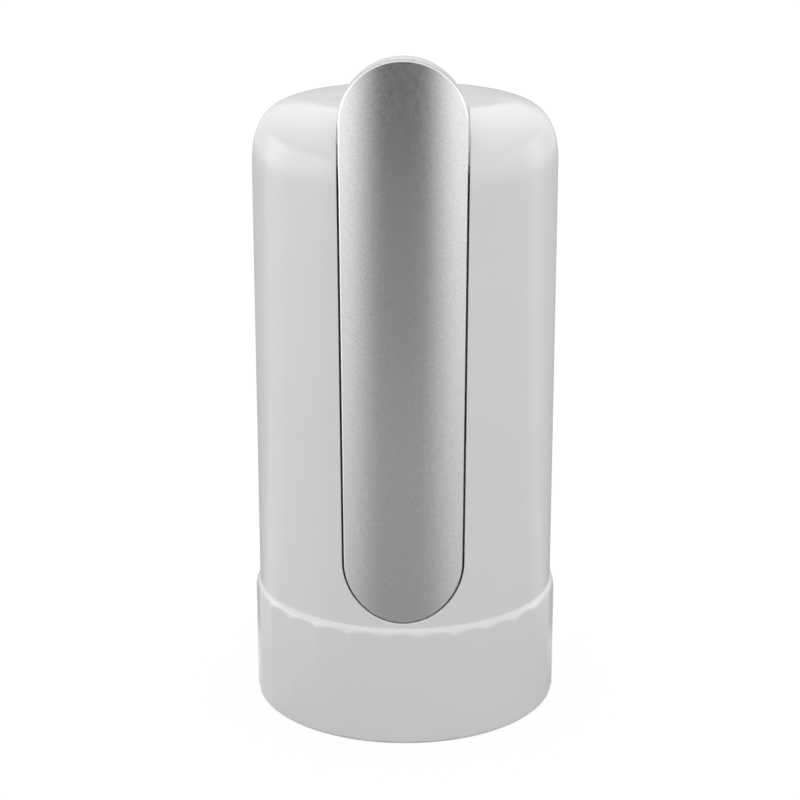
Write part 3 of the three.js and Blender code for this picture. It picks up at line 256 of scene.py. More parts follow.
def drum(name, radius, a, b, sides, matrix=None):
    """A round bar along Z from a to b, then moved by the matrix."""
    bpy.ops.mesh.primitive_cylinder_add(vertices=sides, radius=radius, depth=b - a, location=(0, 0, (a + b) / 2))
    piece = freeze(named(name))
    return settle(piece, matrix) if matrix else piece


def drums(name, radius, a, b, sides, matrices):
    """Like bars, one in each place."""
    return [drum(name, radius, a, b, sides, matrix) for matrix in matrices]


def block(name, low, high, matrix=None):
    """A box between two corners, then moved by the matrix."""
    bpy.ops.mesh.primitive_cube_add(size=1, location=[(a + b) / 2 for a, b in zip(low, high)])
    piece = named(name)
    piece.scale = [b - a for a, b in zip(low, high)]
    freeze(piece)
    return settle(piece, matrix) if matrix else piece


def copy_of(piece, name, matrix):
    """A copy with a mesh of its own, moved by the matrix."""
    alone(piece)
    bpy.ops.object.duplicate(linked=False)
    return settle(named(name), matrix)


def apply_modifier(piece, kind, **settings):
    alone(piece)
    bpy.ops.object.modifier_add(type=kind)
    modifier = piece.modifiers[-1]
    for key, value in settings.items():
        setattr(modifier, key, value)
    bpy.ops.object.modifier_apply(modifier=modifier.name)


def combine(piece, operation, *tools):
    """Joins, cuts or trims a piece with tools, which are used up."""
    for tool in tools:
        apply_modifier(piece, "BOOLEAN", operation=operation, solver="EXACT", object=tool)
        bpy.data.objects.remove(tool)
    edit(piece)
    every()
    bpy.ops.mesh.remove_doubles(threshold=WELD)
    done()
    return piece


def cut(piece, *tools):
    return combine(piece, "DIFFERENCE", *tools)


def add(piece, *tools):
    return combine(piece, "UNION", *tools)


def group(*tools):
    """Joins tools that stand clear of each other, so that they work in one go."""
    alone(tools[0])
    for tool in tools:
        tool.select_set(True)
    bpy.ops.object.join()
    return tools[0]


def merge_faces(piece, test):
    """Makes one face of the chosen ones wherever they meet."""
    edit(piece, "FACE")
    choose(piece, "FACE", test)
    bpy.ops.mesh.dissolve_faces()
    done()


def sharp(edge, least=35):
    return len(edge.link_faces) == 2 and edge.calc_face_angle(0) > math.radians(least)


def rim(test):
    """Picks sharp edges whose two ends pass the test."""
    return lambda edge: sharp(edge) and all(test(v.co) for v in edge.verts)


def bevel_edges(piece, test, width, segments=3):
    """Rounds the edges that pass the test."""
    edit(piece, "EDGE")
    if not choose(piece, "EDGE", test):
        raise RuntimeError(f"{piece.name} has no edge to round")
    bpy.ops.mesh.bevel(offset=width, offset_type="OFFSET", segments=segments, affect="EDGES",
                       clamp_overlap=False, loop_slide=False)
    tidy()
    done()


def weld(piece, test, reach):
    """Merges the chosen vertices that lie within reach of each other."""
    edit(piece)
    choose(piece, "VERT", test)
    bpy.ops.mesh.remove_doubles(threshold=reach)
    done()


def clear_rim(piece, outer, reach):
    """Dissolves the meridians that run within reach of the rim of the outer face, so that the rim rounds cleanly."""
    edit(piece, "EDGE")
    mesh = bmesh.from_edit_mesh(piece.data)
    edges = [e for e in mesh.edges if rim(outer)(e)]
    on_rim = {v.index for e in edges for v in e.verts}
    spans = [(e.verts[0].co.copy(), e.verts[1].co.copy()) for e in edges]
    low, high = min(a.z for a, b in spans) - reach, max(a.z for a, b in spans) + reach

    def off(co):
        best = 1.0
        for a, b in spans:
            at, share = intersect_point_line(co, a, b)
            best = min(best, (co - a.lerp(b, min(1.0, max(0.0, share)))).length)
        return best

    def turn(v):
        return math.atan2(v.co.x, -v.co.y)

    near = {v.index for v in mesh.verts if v.index not in on_rim and v.co.y < 0 and low < v.co.z < high
            and outer(v.co) and off(v.co) < reach}
    if choose(piece, "EDGE", lambda e: any(v.index in near for v in e.verts) and all(outer(v.co) for v in e.verts)
              and abs(turn(e.verts[0]) - turn(e.verts[1])) < math.radians(0.02)):
        bpy.ops.mesh.dissolve_edges(use_verts=True)
    done()


def close(piece):
    """Clears loose edges and fills the needle holes that a cut can leave."""
    edit(piece)
    every()
    bpy.ops.mesh.delete_loose(use_verts=True, use_edges=True, use_faces=False)
    every()
    bpy.ops.mesh.fill_holes(sides=6)
    done()


def shade(piece):
    alone(piece)
    bpy.ops.object.shade_smooth_by_angle(angle=SMOOTH)
    apply_modifier(piece, "WEIGHTED_NORMAL", keep_sharp=True, weight=50)
    return piece


def true_normals(piece, form, test):
    """Gives the chosen vertices the smooth normals of the uncut form, so that the cuts leave no marks in its gloss."""
    alone(form)
    bpy.ops.object.shade_smooth()
    outer = piece.vertex_groups.new(name="outer")
    outer.add([v.index for v in piece.data.vertices if test(v.co)], 1.0, "REPLACE")
    apply_modifier(piece, "DATA_TRANSFER", object=form, use_loop_data=True, data_types_loops={"CUSTOM_NORMAL"},
                   loop_mapping="POLYINTERP_NEAREST", vertex_group="outer")
    piece.vertex_groups.clear()
    bpy.data.objects.remove(form)


def finish(piece, slot, body, *nodes, material=None):
    """Gives a piece its material, parents it to the body it rides on and hides the nodes it stands for."""
    piece.data.materials.clear()
    piece.data.materials.append(look(material or slot))
    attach(piece, body)
    if nodes:
        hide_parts(*nodes)


# Outlines

def arc(x, z, radius, a, b, steps):
    """Points on an arc from angle a to b in degrees, both ends included."""
    return [(x + radius * math.cos(math.radians(a + (b - a) * i / steps)),
             z + radius * math.sin(math.radians(a + (b - a) * i / steps))) for i in range(steps + 1)]


def met_arc(x, z, radius, a, b, steps, marks):
    """An arc with a point at each marked X, and no other point within a short step of those."""
    met = [side * math.degrees(math.acos((m - x) / radius)) % 360
           for m in marks for side in (-1, 1) if abs(m - x) < radius]
    met = sorted(t for t in met if a < t < b)
    near = math.degrees(SHORT_EDGE / radius)
    even = [a + (b - a) * i / steps for i in range(steps + 1)]
    return [(x + radius * math.cos(math.radians(t)), z + radius * math.sin(math.radians(t)))
            for t in sorted(met + [t for t in even if all(abs(t - m) > near for m in met)])]


def rounded(wide, high, r, z, steps):
    """A rectangle with round corners, centred on X at a height."""
    x, y = wide / 2 - r, high / 2 - r
    return (arc(x, z - y, r, -90, 0, steps) + arc(x, z + y, r, 0, 90, steps)
            + arc(-x, z + y, r, 90, 180, steps) + arc(-x, z - y, r, 180, 270, steps))


def stadium(wide, high, z, steps=16):
    r = high / 2
    return arc(wide / 2 - r, z, r, -90, 90, steps) + arc(r - wide / 2, z, r, 90, 270, steps)


def eased(r, z, across, up):
    """Three points that ease a profile's corner at (r, z): across from it, between, and up from it."""
    return [(r + across, z), (r + across * EASE, z + up * EASE), (r, z + up)]


def arm_outline(half_top, half_foot, level_z, tail_z, steps=64, marks=()):
    """The long outline of the arm and of its slot: round foot, widening sides and round tail."""
    return ([(-half_top, tail_z), (-half_top, level_z)] + met_arc(0, SLOT_FOOT_Z, half_foot, 180, 360, steps, marks)
            + [(half_top, level_z)] + met_arc(0, tail_z, half_top, 0, 180, steps, marks)[:-1])


def meridians(radius, steps):
    """The X of each front meridian of a form turned in that many steps."""
    return [radius * math.sin(TURN * k / steps) for k in range(-steps // 4, steps // 4)]


def shoulder(inset, steps, power):
    """The rounded shoulder's outline, drawn in by a wall."""
    s = bpy.context.scene.jug_pump_shell
    flat, reach = s.radius - s.shoulder, s.shoulder - inset
    points = []
    for i in range(steps + 1):
        c, n = math.cos(i / steps * math.pi / 2), math.sin(i / steps * math.pi / 2)
        grow = (c ** power + n ** power) ** (-1 / power)
        points.append((flat + reach * c * grow, s.top - s.shoulder + reach * n * grow))
    return points


# Sizes and places shared by the pieces

SHOULDER_POWER = 3         # of the shoulder's outer curve; 2 would be a circle
ROOF_POWER = 3.4           # of its inner curve
SHOULDER_STEPS, ROOF_STEPS, FORM_STEPS = 26, 12, 60
BODY_ROWS = 16             # rows of faces up the straight body
FIRST_ROW = 7              # the lowest of them that is kept above the skirt
LATHE_SHARE = 7            # steps of the lathe to a facet
FACET_TURN = 2             # steps by which the facets are turned
BAND_DROP = 5.5 * MM       # height of the band that leads from the body to the facets
BAND_EDGE = 0.35 * MM
FACET_INSET = 0.42 * MM    # how far the corners stand inside those of the CAD
FACET_OVER = 0.3 * MM      # how far the lathed form stands past the corners
FACETS_END = 20 * MM       # an edge that reaches above this belongs to the facets' upper ends
SKIRT_WALL = 2.75 * MM
FOOT_EDGE = 0.5 * MM
HINGE_DEPTH = 10.9 * MM    # of the hinge below the top and behind the front
TAIL_DROP = 1 * MM
SLOT_FOOT_Z = 43.3 * MM
SLOT_WALL = 2.2 * MM
KNUCKLE = 4.6 * MM
KNUCKLE_GAP = 0.15 * MM
TROUGH = KNUCKLE + 0.5 * MM
MANIFOLD = 4.4 * MM
NOZZLE_RADIUS = 5 * MM
NOZZLE_STAND = 9.2 * MM    # how far it stands behind the arm
WELL_RADIUS = NOZZLE_RADIUS + 1.5 * MM
WELL_ROOM = 1.3 * MM       # behind the nozzle
JOURNAL = 3 * MM
STEM_RADIUS = 3.2 * MM
STEM_REACH = 9 * MM
PAD_RADIUS = 6.4 * MM
ARM_WALL = 1.6 * MM
COVER_BOSS = 2.6 * MM
ARM_SCREW_INSET = 5.35 * MM
ARM_SCREW_RISE = 22 * MM
TUBE = 2.6 * MM
STUB = 1.6 * MM            # radius of the stubs that the tube is pushed onto
STUB_BORE = 1 * MM
STUB_LENGTH = 5 * MM
DECK_UNDER = 24.5 * MM
DECK_TOP = 26.9 * MM
LIP_WALL = 2.1 * MM        # between the base tray's outside and its grip ring
LIP_REACH = 3.7 * MM       # of the lip that holds the grip ring in
GRIP_FOOT = 2.4 * MM
GRIP_WALL = 1.2 * MM
FIN_REACH = 2.4 * MM
FIN_COUNT = 3
LAND_ROOM = 0.5 * MM       # between the deck's land and the fins
CUP_RISE = 2.7 * MM
CUP_FLOOR = 2.2 * MM
BOSS_TOP = 42.6 * MM
BOSS_INSET = 5.6 * MM
RING_FLANGE = 0.8 * MM     # of the light ring, under the roof
RING_THICK = 1.5 * MM
RING_ROOM = 0.6 * MM       # between the flange and the slot's wall
BUTTON_HIGH = 7 * MM
PLUNGER_RISE = 0.8 * MM
SWITCH_HIGH = 3.5 * MM
SWITCH_SCREW_X = 12.5 * MM
INLET = 5 * MM
COLLAR = 7.6 * MM
WASHER = 1 * MM
FRAME_FLOOR = 43.3 * MM
FRAME_WALL = 1.6 * MM
POST_INSET = 3.5 * MM
CHARGE_BOARD = 38 * MM
USB_Z = 41.1 * MM
CONTACTS = 6
SCREW = 1.25 * MM
SMALL_SCREW = 0.9 * MM
BASE_SCREW_TURNS = (35, 145, 215, -35)
POST_TURNS = (-13, 193, 118)


def ring_place(radius, turn, z=0):
    return place(radius * math.cos(math.radians(turn)), radius * math.sin(math.radians(turn)), z)


class Places:
    """Works out the places that follow from the sizes."""

    def __init__(self):
        scene = bpy.context.scene
        shell, arm, button = scene.jug_pump_shell, scene.jug_pump_arm, scene.jug_pump_button
        self.shell, self.arm, self.button = shell, arm, button
        self.hinge_y = -(shell.radius - HINGE_DEPTH)
        self.hinge_z = shell.top - HINGE_DEPTH
        self.axis = along_x(self.hinge_y, self.hinge_z)
        self.tail = HINGE_DEPTH - TAIL_DROP
        self.slot_end = self.hinge_y + self.tail
        self.tail_z = self.hinge_z + self.tail
        self.arm_top = shell.slot_top - arm.gap
        self.arm_foot = shell.slot_foot - arm.gap
        self.arm_back = self.hinge_y - arm.gap
        self.arm_high = self.tail_z + self.arm_top + OVERRUN
        self.boss_back = self.arm_back - ARM_WALL - GAP
        self.knuckle = self.arm_top - ARM_WALL - 2 * (TUBE + GAP) - KNUCKLE_GAP
        self.journal_x = self.knuckle + TUBE + GAP
        self.tube_y = self.arm_back - ARM_WALL - GAP - TUBE
        self.spigot_z = self.hinge_z - (self.hinge_y - self.tube_y)
        self.spigot_foot = self.spigot_z - TUBE
        self.nozzle_tip = self.arm_back + NOZZLE_STAND
        self.well_y = self.nozzle_tip + WELL_ROOM
        self.inner = shell.radius - shell.wall
        self.roof = shell.top - shell.wall
        self.ring_inner = button.radius + GAP
        self.ring_outer = self.ring_inner + button.ring
        self.ring_foot = self.roof - GAP - RING_THICK
        self.button_y = self.slot_end + shell.slot_top + SLOT_WALL + RING_ROOM + self.ring_outer + RING_FLANGE
        self.button_foot = shell.top + button.proud - BUTTON_HIGH
        self.switch_board = self.button_foot - PLUNGER_RISE - SWITCH_HIGH - 2 * GAP
        self.skirt_inner = shell.corner * math.cos(math.pi / shell.facets) - SKIRT_WALL
        self.boss_foot = DECK_TOP + CUP_RISE + GAP
        self.chassis = self.skirt_inner - GAP
        self.chassis_ring = self.chassis - BOSS_INSET
        self.land_outer = self.chassis - LIP_WALL - GAP - GRIP_WALL - FIN_REACH - LAND_ROOM
        self.screw_side = self.arm_top - ARM_SCREW_INSET

    def arm_blank(self, name, inset, back, **settings):
        """The arm's outline drawn in by a wall, from clear of the front to its back."""
        outline = arm_outline(self.arm_top - inset, self.arm_foot - inset, self.hinge_z, self.tail_z, **settings)
        return prism(name, outline, "Y", -(self.shell.radius + OVERRUN), back)

    def stem(self, a, b, radius, sides=BORE_SIDES):
        """A round bar on the line down and back from the hinge."""
        return drum("stem", radius, a, b, sides, place(0, self.hinge_y, self.hinge_z) @ tip(-135))

    def base_screws(self, z=0):
        return [ring_place(self.chassis_ring, t, z) for t in BASE_SCREW_TURNS]

    def posts(self):
        return [ring_place(self.inner - FRAME_WALL - POST_INSET, t) for t in POST_TURNS]

    def switch_screws(self):
        return [place(x, self.button_y) for x in (-SWITCH_SCREW_X, SWITCH_SCREW_X)]

    def arm_screws(self, y=0):
        return [place(-self.screw_side, y, self.hinge_z - ARM_SCREW_RISE),
                place(self.screw_side, y, SLOT_FOOT_Z + ARM_SCREW_RISE)]

    def arm_screw_bars(self, name, radius, a, b, sides):
        return drums(name, radius, a, b, sides, [spot @ tip(-90) for spot in self.arm_screws()])


# Materials

def nodes_of(name):
    material = bpy.data.materials.new(name)
    material.use_nodes = True
    tree = material.node_tree
    return material, tree, tree.nodes["Principled BSDF"]


def node(tree, kind, values, *links, **settings):
    """Adds a shader node with its settings, the values of its inputs and the (source, input) links into it."""
    made = tree.nodes.new("ShaderNode" + kind)
    for key, value in settings.items():
        setattr(made, key, value)
    for key, value in values.items():
        made.inputs[key].default_value = value
    for source, key in links:
        tree.links.new(source, made.inputs[key])
    return made


def calc(tree, operation, *terms):
    """Arithmetic on values and on the outputs of nodes."""
    values = {i: term for i, term in enumerate(terms) if isinstance(term, (int, float))}
    links = [(term, i) for i, term in enumerate(terms) if i not in values]
    return node(tree, "Math", values, *links, operation=operation).outputs[0]


def noise(tree, scale, detail=2.0, rough=0.5, stretch=(1, 1, 1)):
    """Noise on object coordinates; the scale is in cycles per metre."""
    spot = node(tree, "TexCoord", {})
    mapping = node(tree, "Mapping", {"Scale": stretch}, (spot.outputs["Object"], "Vector"))
    return node(tree, "TexNoise", {"Scale": scale, "Detail": detail, "Roughness": rough},
                (mapping.outputs["Vector"], "Vector")).outputs["Fac"]


def ramp(tree, source, low, high, at=(0.35, 0.65)):
    """Spreads a value between two colours or two greys."""
    made = node(tree, "ValToRGB", {}, (source, "Fac"))
    for end, value, where in zip(made.color_ramp.elements, (low, high), at):
        end.position = where
        end.color = (*value, 1) if hasattr(value, "__len__") else (value, value, value, 1)
    return made.outputs["Color"]


def tint(base, share):
    return tuple(min(1.0, c * share) for c in base)


def surface(name, base, mottle, gloss, *reliefs, **inputs):
    """
    A material on object coordinates. The mottle is (noise, low, high) in shares of the base colour, with the ends of
    its ramp where those differ. The gloss is (noise, low, high) in roughness, and each relief is (noise, strength,
    depth), the later on the earlier.
    """
    material, tree, shader = nodes_of(name)
    grain, low, high, *at = mottle
    tree.links.new(ramp(tree, noise(tree, *grain), tint(base, low), tint(base, high), *at), shader.inputs["Base Color"])
    grain, low, high = gloss
    tree.links.new(ramp(tree, noise(tree, *grain), low, high), shader.inputs["Roughness"])
    under = ()
    for grain, strength, depth in reliefs:
        relief = node(tree, "Bump", {"Strength": strength, "Distance": depth},
                      (noise(tree, *grain), "Height"), *under)
        under = ((relief.outputs["Normal"], "Normal"),)
    tree.links.new(relief.outputs["Normal"], shader.inputs["Normal"])
    for key, value in inputs.items():
        shader.inputs[key.replace("_", " ")].default_value = value
    return material


def plastic(name, base, rough=(0.2, 0.3), grain=0.4, vary=0.015):
    """Moulded plastic: a slight mottling, uneven gloss and the faint ripple of a polished mould."""
    return surface(name, base, ((60, 3), 1 - vary, 1 + vary), ((140, 4), *rough),
                   ((45, 1), 0.12, 0.06 * MM), ((2600, 2), grain * 0.1, 0.02 * MM), IOR=1.52)


def metallic_paint(name, base):
    """Satin metallic paint: fine flakes that catch the light, under a thin lacquer, with a few light rubs."""
    material = surface(name, base, ((3600, 2, 0.7), 0.91, 1.1, (0.3, 0.7)), ((900, 3), 0.19, 0.23),
                       ((3000, 2, 0.6), 0.065, 0.02 * MM), Metallic=0.92, Coat_Weight=0.12, Coat_Roughness=0.25)
    tree = material.node_tree
    colour_in = tree.nodes["Principled BSDF"].inputs["Base Color"]
    flakes = colour_in.links[0].from_socket
    rubs = ramp(tree, noise(tree, 210, 6, 0.75, (1, 1, 0.45)), 0.0, 1.0, (0.745, 0.775))
    mix = node(tree, "Mix", {"B": (*tint(base, 1.5), 1)}, (rubs, "Factor"), (flakes, "A"), data_type="RGBA")
    tree.links.new(mix.outputs["Result"], colour_in)
    return material


def metal(name, base, rough=(0.18, 0.32)):
    """Plain metal with a fine drawn grain and small stains."""
    return surface(name, base, ((380, 4), 0.9, 1.06), ((900, 3, 0.6), *rough),
                   ((2400, 2), 0.04, 0.02 * MM), Metallic=1.0)


def rubbery(name, base, rough=(0.5, 0.65), through=0.0):
    """Silicone or rubber: matt skin with dust-fine grain, slightly see-through where it is milky."""
    return surface(name, base, ((120, 4), 0.95, 1.04), ((500, 3), *rough),
                   ((1800, 3), 0.15, 0.03 * MM), Transmission_Weight=through)


def milky(name, base):
    """Milky light guide: soft, slightly cloudy, with a glossy face."""
    return surface(name, base, ((300, 3), 0.97, 1.03), ((700, 2), 0.18, 0.26),
                   ((1500, 2), 0.08, 0.02 * MM), Subsurface_Weight=0.35, Subsurface_Scale=1.5 * MM)


LOOKS = {}


def look(name):
    """The material of that name, made when it is first asked for."""
    if name not in LOOKS:
        scene = bpy.context.scene
        shell, arm, button = scene.jug_pump_shell, scene.jug_pump_arm, scene.jug_pump_button
        kind, called, *settings = {
            "white_shell": (plastic, "gloss_white_abs", tuple(shell.finish), (0.13, 0.2), 0.4, 0.008),
            "white_arm": (plastic, "white_arm_abs", tuple(arm.housing)),
            "white_inner": (plastic, "white_base_abs", (0.72, 0.722, 0.725), (0.34, 0.46), 1.2),
            "silver_cover": (metallic_paint, "satin_silver_paint", tuple(arm.finish)),
            "button_white": (plastic, "button_abs", tuple(button.finish), (0.22, 0.3)),
            "light_guide": (milky, "milky_light_guide", tuple(button.light)),
            "grip_silicone": (rubbery, "grip_silicone", (0.62, 0.64, 0.65)),
            "hose_silicone": (rubbery, "clear_hose_silicone", (0.8, 0.84, 0.85), (0.25, 0.35), 0.6),
            "rubber_black": (rubbery, "black_rubber", (0.02, 0.02, 0.021), (0.6, 0.75)),
            "frame_grey": (plastic, "grey_frame_plastic", (0.27, 0.28, 0.29), (0.4, 0.52), 1.5, 0.03),
            "black_plastic": (plastic, "black_plastic", (0.014, 0.014, 0.016), (0.35, 0.5), 1.5, 0.05),
            "steel": (metal, "stainless_steel", (0.6, 0.6, 0.61)),
            "screws": (metal, "screw_steel", (0.5, 0.5, 0.51), (0.25, 0.4)),
            "brass_terminals": (metal, "brass", (0.72, 0.5, 0.2)),
            "battery_wrap": (plastic, "battery_wrap", (0.03, 0.16, 0.42), (0.2, 0.3), 0.4, 0.03),
            "board_green": (plastic, "board_lacquer", (0.012, 0.1, 0.045), (0.25, 0.4), 0.4, 0.08),
        }[name]
        LOOKS[name] = kind(called, *settings)
    return LOOKS[name]


# Operators, one for each piece or group of like pieces

class JUGPUMP_OT_shell(bpy.types.Operator):
    """Models the white shell with its shoulder, faceted skirt, slot and openings"""
    bl_idname = "jug_pump.shell"
    bl_label = "Main shell"

    def blank(self, p):
        """The uncut outside: a lathed form, trimmed to facets at the skirt."""
        s = p.shell
        corner = s.corner - FACET_INSET
        reach, flat = corner + FACET_OVER, corner * math.cos(math.pi / s.facets)
        band = [(s.radius + (reach - s.radius) * math.cos(math.radians(a)),
                 s.skirt_top - BAND_DROP * (1 - math.sin(math.radians(a)))) for a in range(0, 91, 9)]
        straight = s.top - s.shoulder - s.skirt_top
        profile = ([(0, 0), (flat - FOOT_EDGE, 0), (flat - FOOT_EDGE * 0.45, FOOT_EDGE * 0.15),
                    (flat - FOOT_EDGE * 0.15, FOOT_EDGE * 0.45), (flat, FOOT_EDGE), (reach, FOOT_EDGE + reach - flat)]
                   + band + [(s.radius, s.skirt_top + straight * i / BODY_ROWS) for i in range(FIRST_ROW, BODY_ROWS)]
                   + shoulder(0, SHOULDER_STEPS, SHOULDER_POWER) + [(0, s.top)])
        steps = s.facets * LATHE_SHARE
        shell = turned("shell_body", profile, steps)
        merge_faces(shell, lambda f: f.normal.z > FLAT)
        turn = 90 + 180 / s.facets - FACET_TURN * 360 / steps
        combine(shell, "INTERSECT",
                drum("skirt_prism", corner, -OVERRUN, s.top + OVERRUN, s.facets, tip(turn, "Z")))
        flat -= NEAR
        bevel_edges(shell, lambda e: sharp(e, 8) and all(math.hypot(v.co.x, v.co.y) > flat for v in e.verts)
                    and max(v.co.z for v in e.verts) > FACETS_END, BAND_EDGE)
        return shell

    def slot_tools(self, p, grow, end_steps=64):
        """The forms that make up the slot, grown by a wall."""
        s = p.shell
        marks = meridians(s.radius, s.facets * LATHE_SHARE)
        top, foot, back = s.slot_top + grow, s.slot_foot + grow, s.radius + OVERRUN
        front = prism("slot_front", arm_outline(top, foot, p.hinge_z, s.top + p.tail, end_steps, marks),
                      "Y", -back, p.hinge_y + grow)
        plan = prism("slot_plan", [(-top, -back), (top, -back)] + arc(0, p.slot_end, top, 0, 180, end_steps),
                     "Z", p.hinge_z - grow, s.top + OVERRUN)
        trough = drum("slot_trough", TROUGH + grow, -top, top, HINGE_SIDES, p.axis)
        well = drum("slot_well", WELL_RADIUS + grow, p.hinge_y - OVERRUN, p.well_y + grow, HINGE_SIDES,
                    along_y(0, SLOT_FOOT_Z))
        edit(add(front, plan))
        every()
        bpy.ops.mesh.dissolve_limited(angle_limit=math.radians(0.2))
        done()
        return front, group(trough, well)

    def cavity(self, p):
        """The room inside, less the slot's walls and the bosses."""
        s, step = p.shell, DECK_TOP + GAP
        room = turned("cavity", [(0, -OVERRUN), (p.skirt_inner, -OVERRUN), (p.skirt_inner, step),
                                 (p.inner, step + p.skirt_inner - p.inner)]
                      + shoulder(s.wall, ROOF_STEPS, ROOF_POWER) + [(0, p.roof)], ROUND_SIDES)
        ribs = [block("boss_rib", (p.chassis_ring, -1 * MM, p.boss_foot + GAP), (s.radius, 1 * MM, BOSS_TOP - GAP),
                      tip(turn, "Z")) for turn in BASE_SCREW_TURNS]
        return cut(room, *self.slot_tools(p, SLOT_WALL, 32), p.stem(TROUGH, STEM_REACH, PAD_RADIUS),
                   group(*drums("boss", 3.2 * MM, p.boss_foot, BOSS_TOP, BAR_SIDES, p.base_screws()),
                         *drums("switch_boss", 2.3 * MM, p.switch_board + GAP, s.top, BAR_SIDES, p.switch_screws())),
                   group(*ribs))

    def openings(self, p):
        """The bores and holes through the walls."""
        s, foot, board = p.shell, p.boss_foot, p.switch_board
        cheek, screw_depth, small_depth = s.slot_top + 2.3 * MM, 10 * MM, 5 * MM
        return (drum("cheek_bore", JOURNAL + RUN_GAP, -cheek, cheek, BORE_SIDES, p.axis),
                p.stem(0, STEM_REACH + OVERRUN, STEM_RADIUS + RUN_GAP),
                group(drum("button_hole", p.ring_outer + GAP, p.roof - OVERRUN, s.top + OVERRUN, ROUND_SIDES,
                           place(0, p.button_y)),
                      prism("usb_hole", stadium(9.6 * MM, 3.8 * MM, USB_Z), "Y", p.inner - OVERRUN, s.radius + OVERRUN),
                      *drums("boss_hole", SCREW + RUN_GAP, foot - OVERRUN, foot + screw_depth, HOLE_SIDES,
                             p.base_screws()),
                      *drums("switch_hole", SMALL_SCREW + RUN_GAP, board - OVERRUN, board + GAP + small_depth,
                             HOLE_SIDES, p.switch_screws())))

    def outer(self, v):
        """Whether a point lies on the round body or its shoulder."""
        s = bpy.context.scene.jug_pump_shell
        r, rise = math.hypot(v.x, v.y), v.z - (s.top - s.shoulder)
        if v.z < s.skirt_top - WELD:
            return False
        if rise <= 0:
            return abs(r - s.radius) < NEAR
        reach = max(0.0, r - (s.radius - s.shoulder))
        return abs((reach ** SHOULDER_POWER + rise ** SHOULDER_POWER) ** (1 / SHOULDER_POWER) - s.shoulder) < NEAR

    def execute(self, context):
        p = Places()
        s = p.shell
        shell = cut(self.blank(p), self.cavity(p), *self.slot_tools(p, 0), *self.openings(p))
        weld(shell, lambda v: self.outer(v.co) and any(rim(self.outer)(e) for e in v.link_edges), SHORT_EDGE)
        clear_rim(shell, self.outer, s.edge + RIM_ROOM)
        bevel_edges(shell, rim(self.outer), s.edge)
        close(shell)
        shade(shell)
        form = turned("shell_form", [(0, 0), (s.radius, 0), (s.radius, s.skirt_top - OVERRUN)]
                      + shoulder(0, FORM_STEPS, SHOULDER_POWER) + [(0, s.top)], FORM_SIDES)
        true_normals(shell, form, self.outer)
        finish(shell, "white_shell", BODY, "main_shell")
        return {"FINISHED"}


class JUGPUMP_OT_cover(bpy.types.Operator):
    """Models the satin metallic cover of the spout arm"""
    bl_idname = "jug_pump.cover"
    bl_label = "Spout cover"

    def execute(self, context):
        p = Places()
        r, high, back = p.shell.radius, p.arm_high, p.boss_back
        under = r - p.arm.cover
        cover = p.arm_blank("spout_cover_face", 0, p.hinge_y, marks=meridians(r, ARM_SIDES))
        combine(cover, "INTERSECT", turned("cover_curve", [(under, 0), (r, 0), (r, high), (under, high)], ARM_SIDES))
        front = 0.1 * MM - math.sqrt(r ** 2 - (p.screw_side + COVER_BOSS) ** 2)
        add(cover, *p.arm_screw_bars("cover_boss", COVER_BOSS, front, back, BORE_SIDES))
        cut(cover, *p.arm_screw_bars("cover_hole", SMALL_SCREW + RUN_GAP, back - 4 * MM, back + OVERRUN, HOLE_SIDES))

        def outer(v):
            return abs(math.hypot(v.x, v.y) - r) < NEAR

        bevel_edges(cover, rim(outer), p.arm.cover_edge)
        shade(cover)
        form = turned("cover_form", [(0, 0), (r, 0), (r, OVERRUN), (r, high), (r, high + OVERRUN), (0, high + OVERRUN)],
                      FORM_SIDES)
        true_normals(cover, form, outer)
        finish(cover, "silver_cover", ARM, "spout_cover")
        return {"FINISHED"}


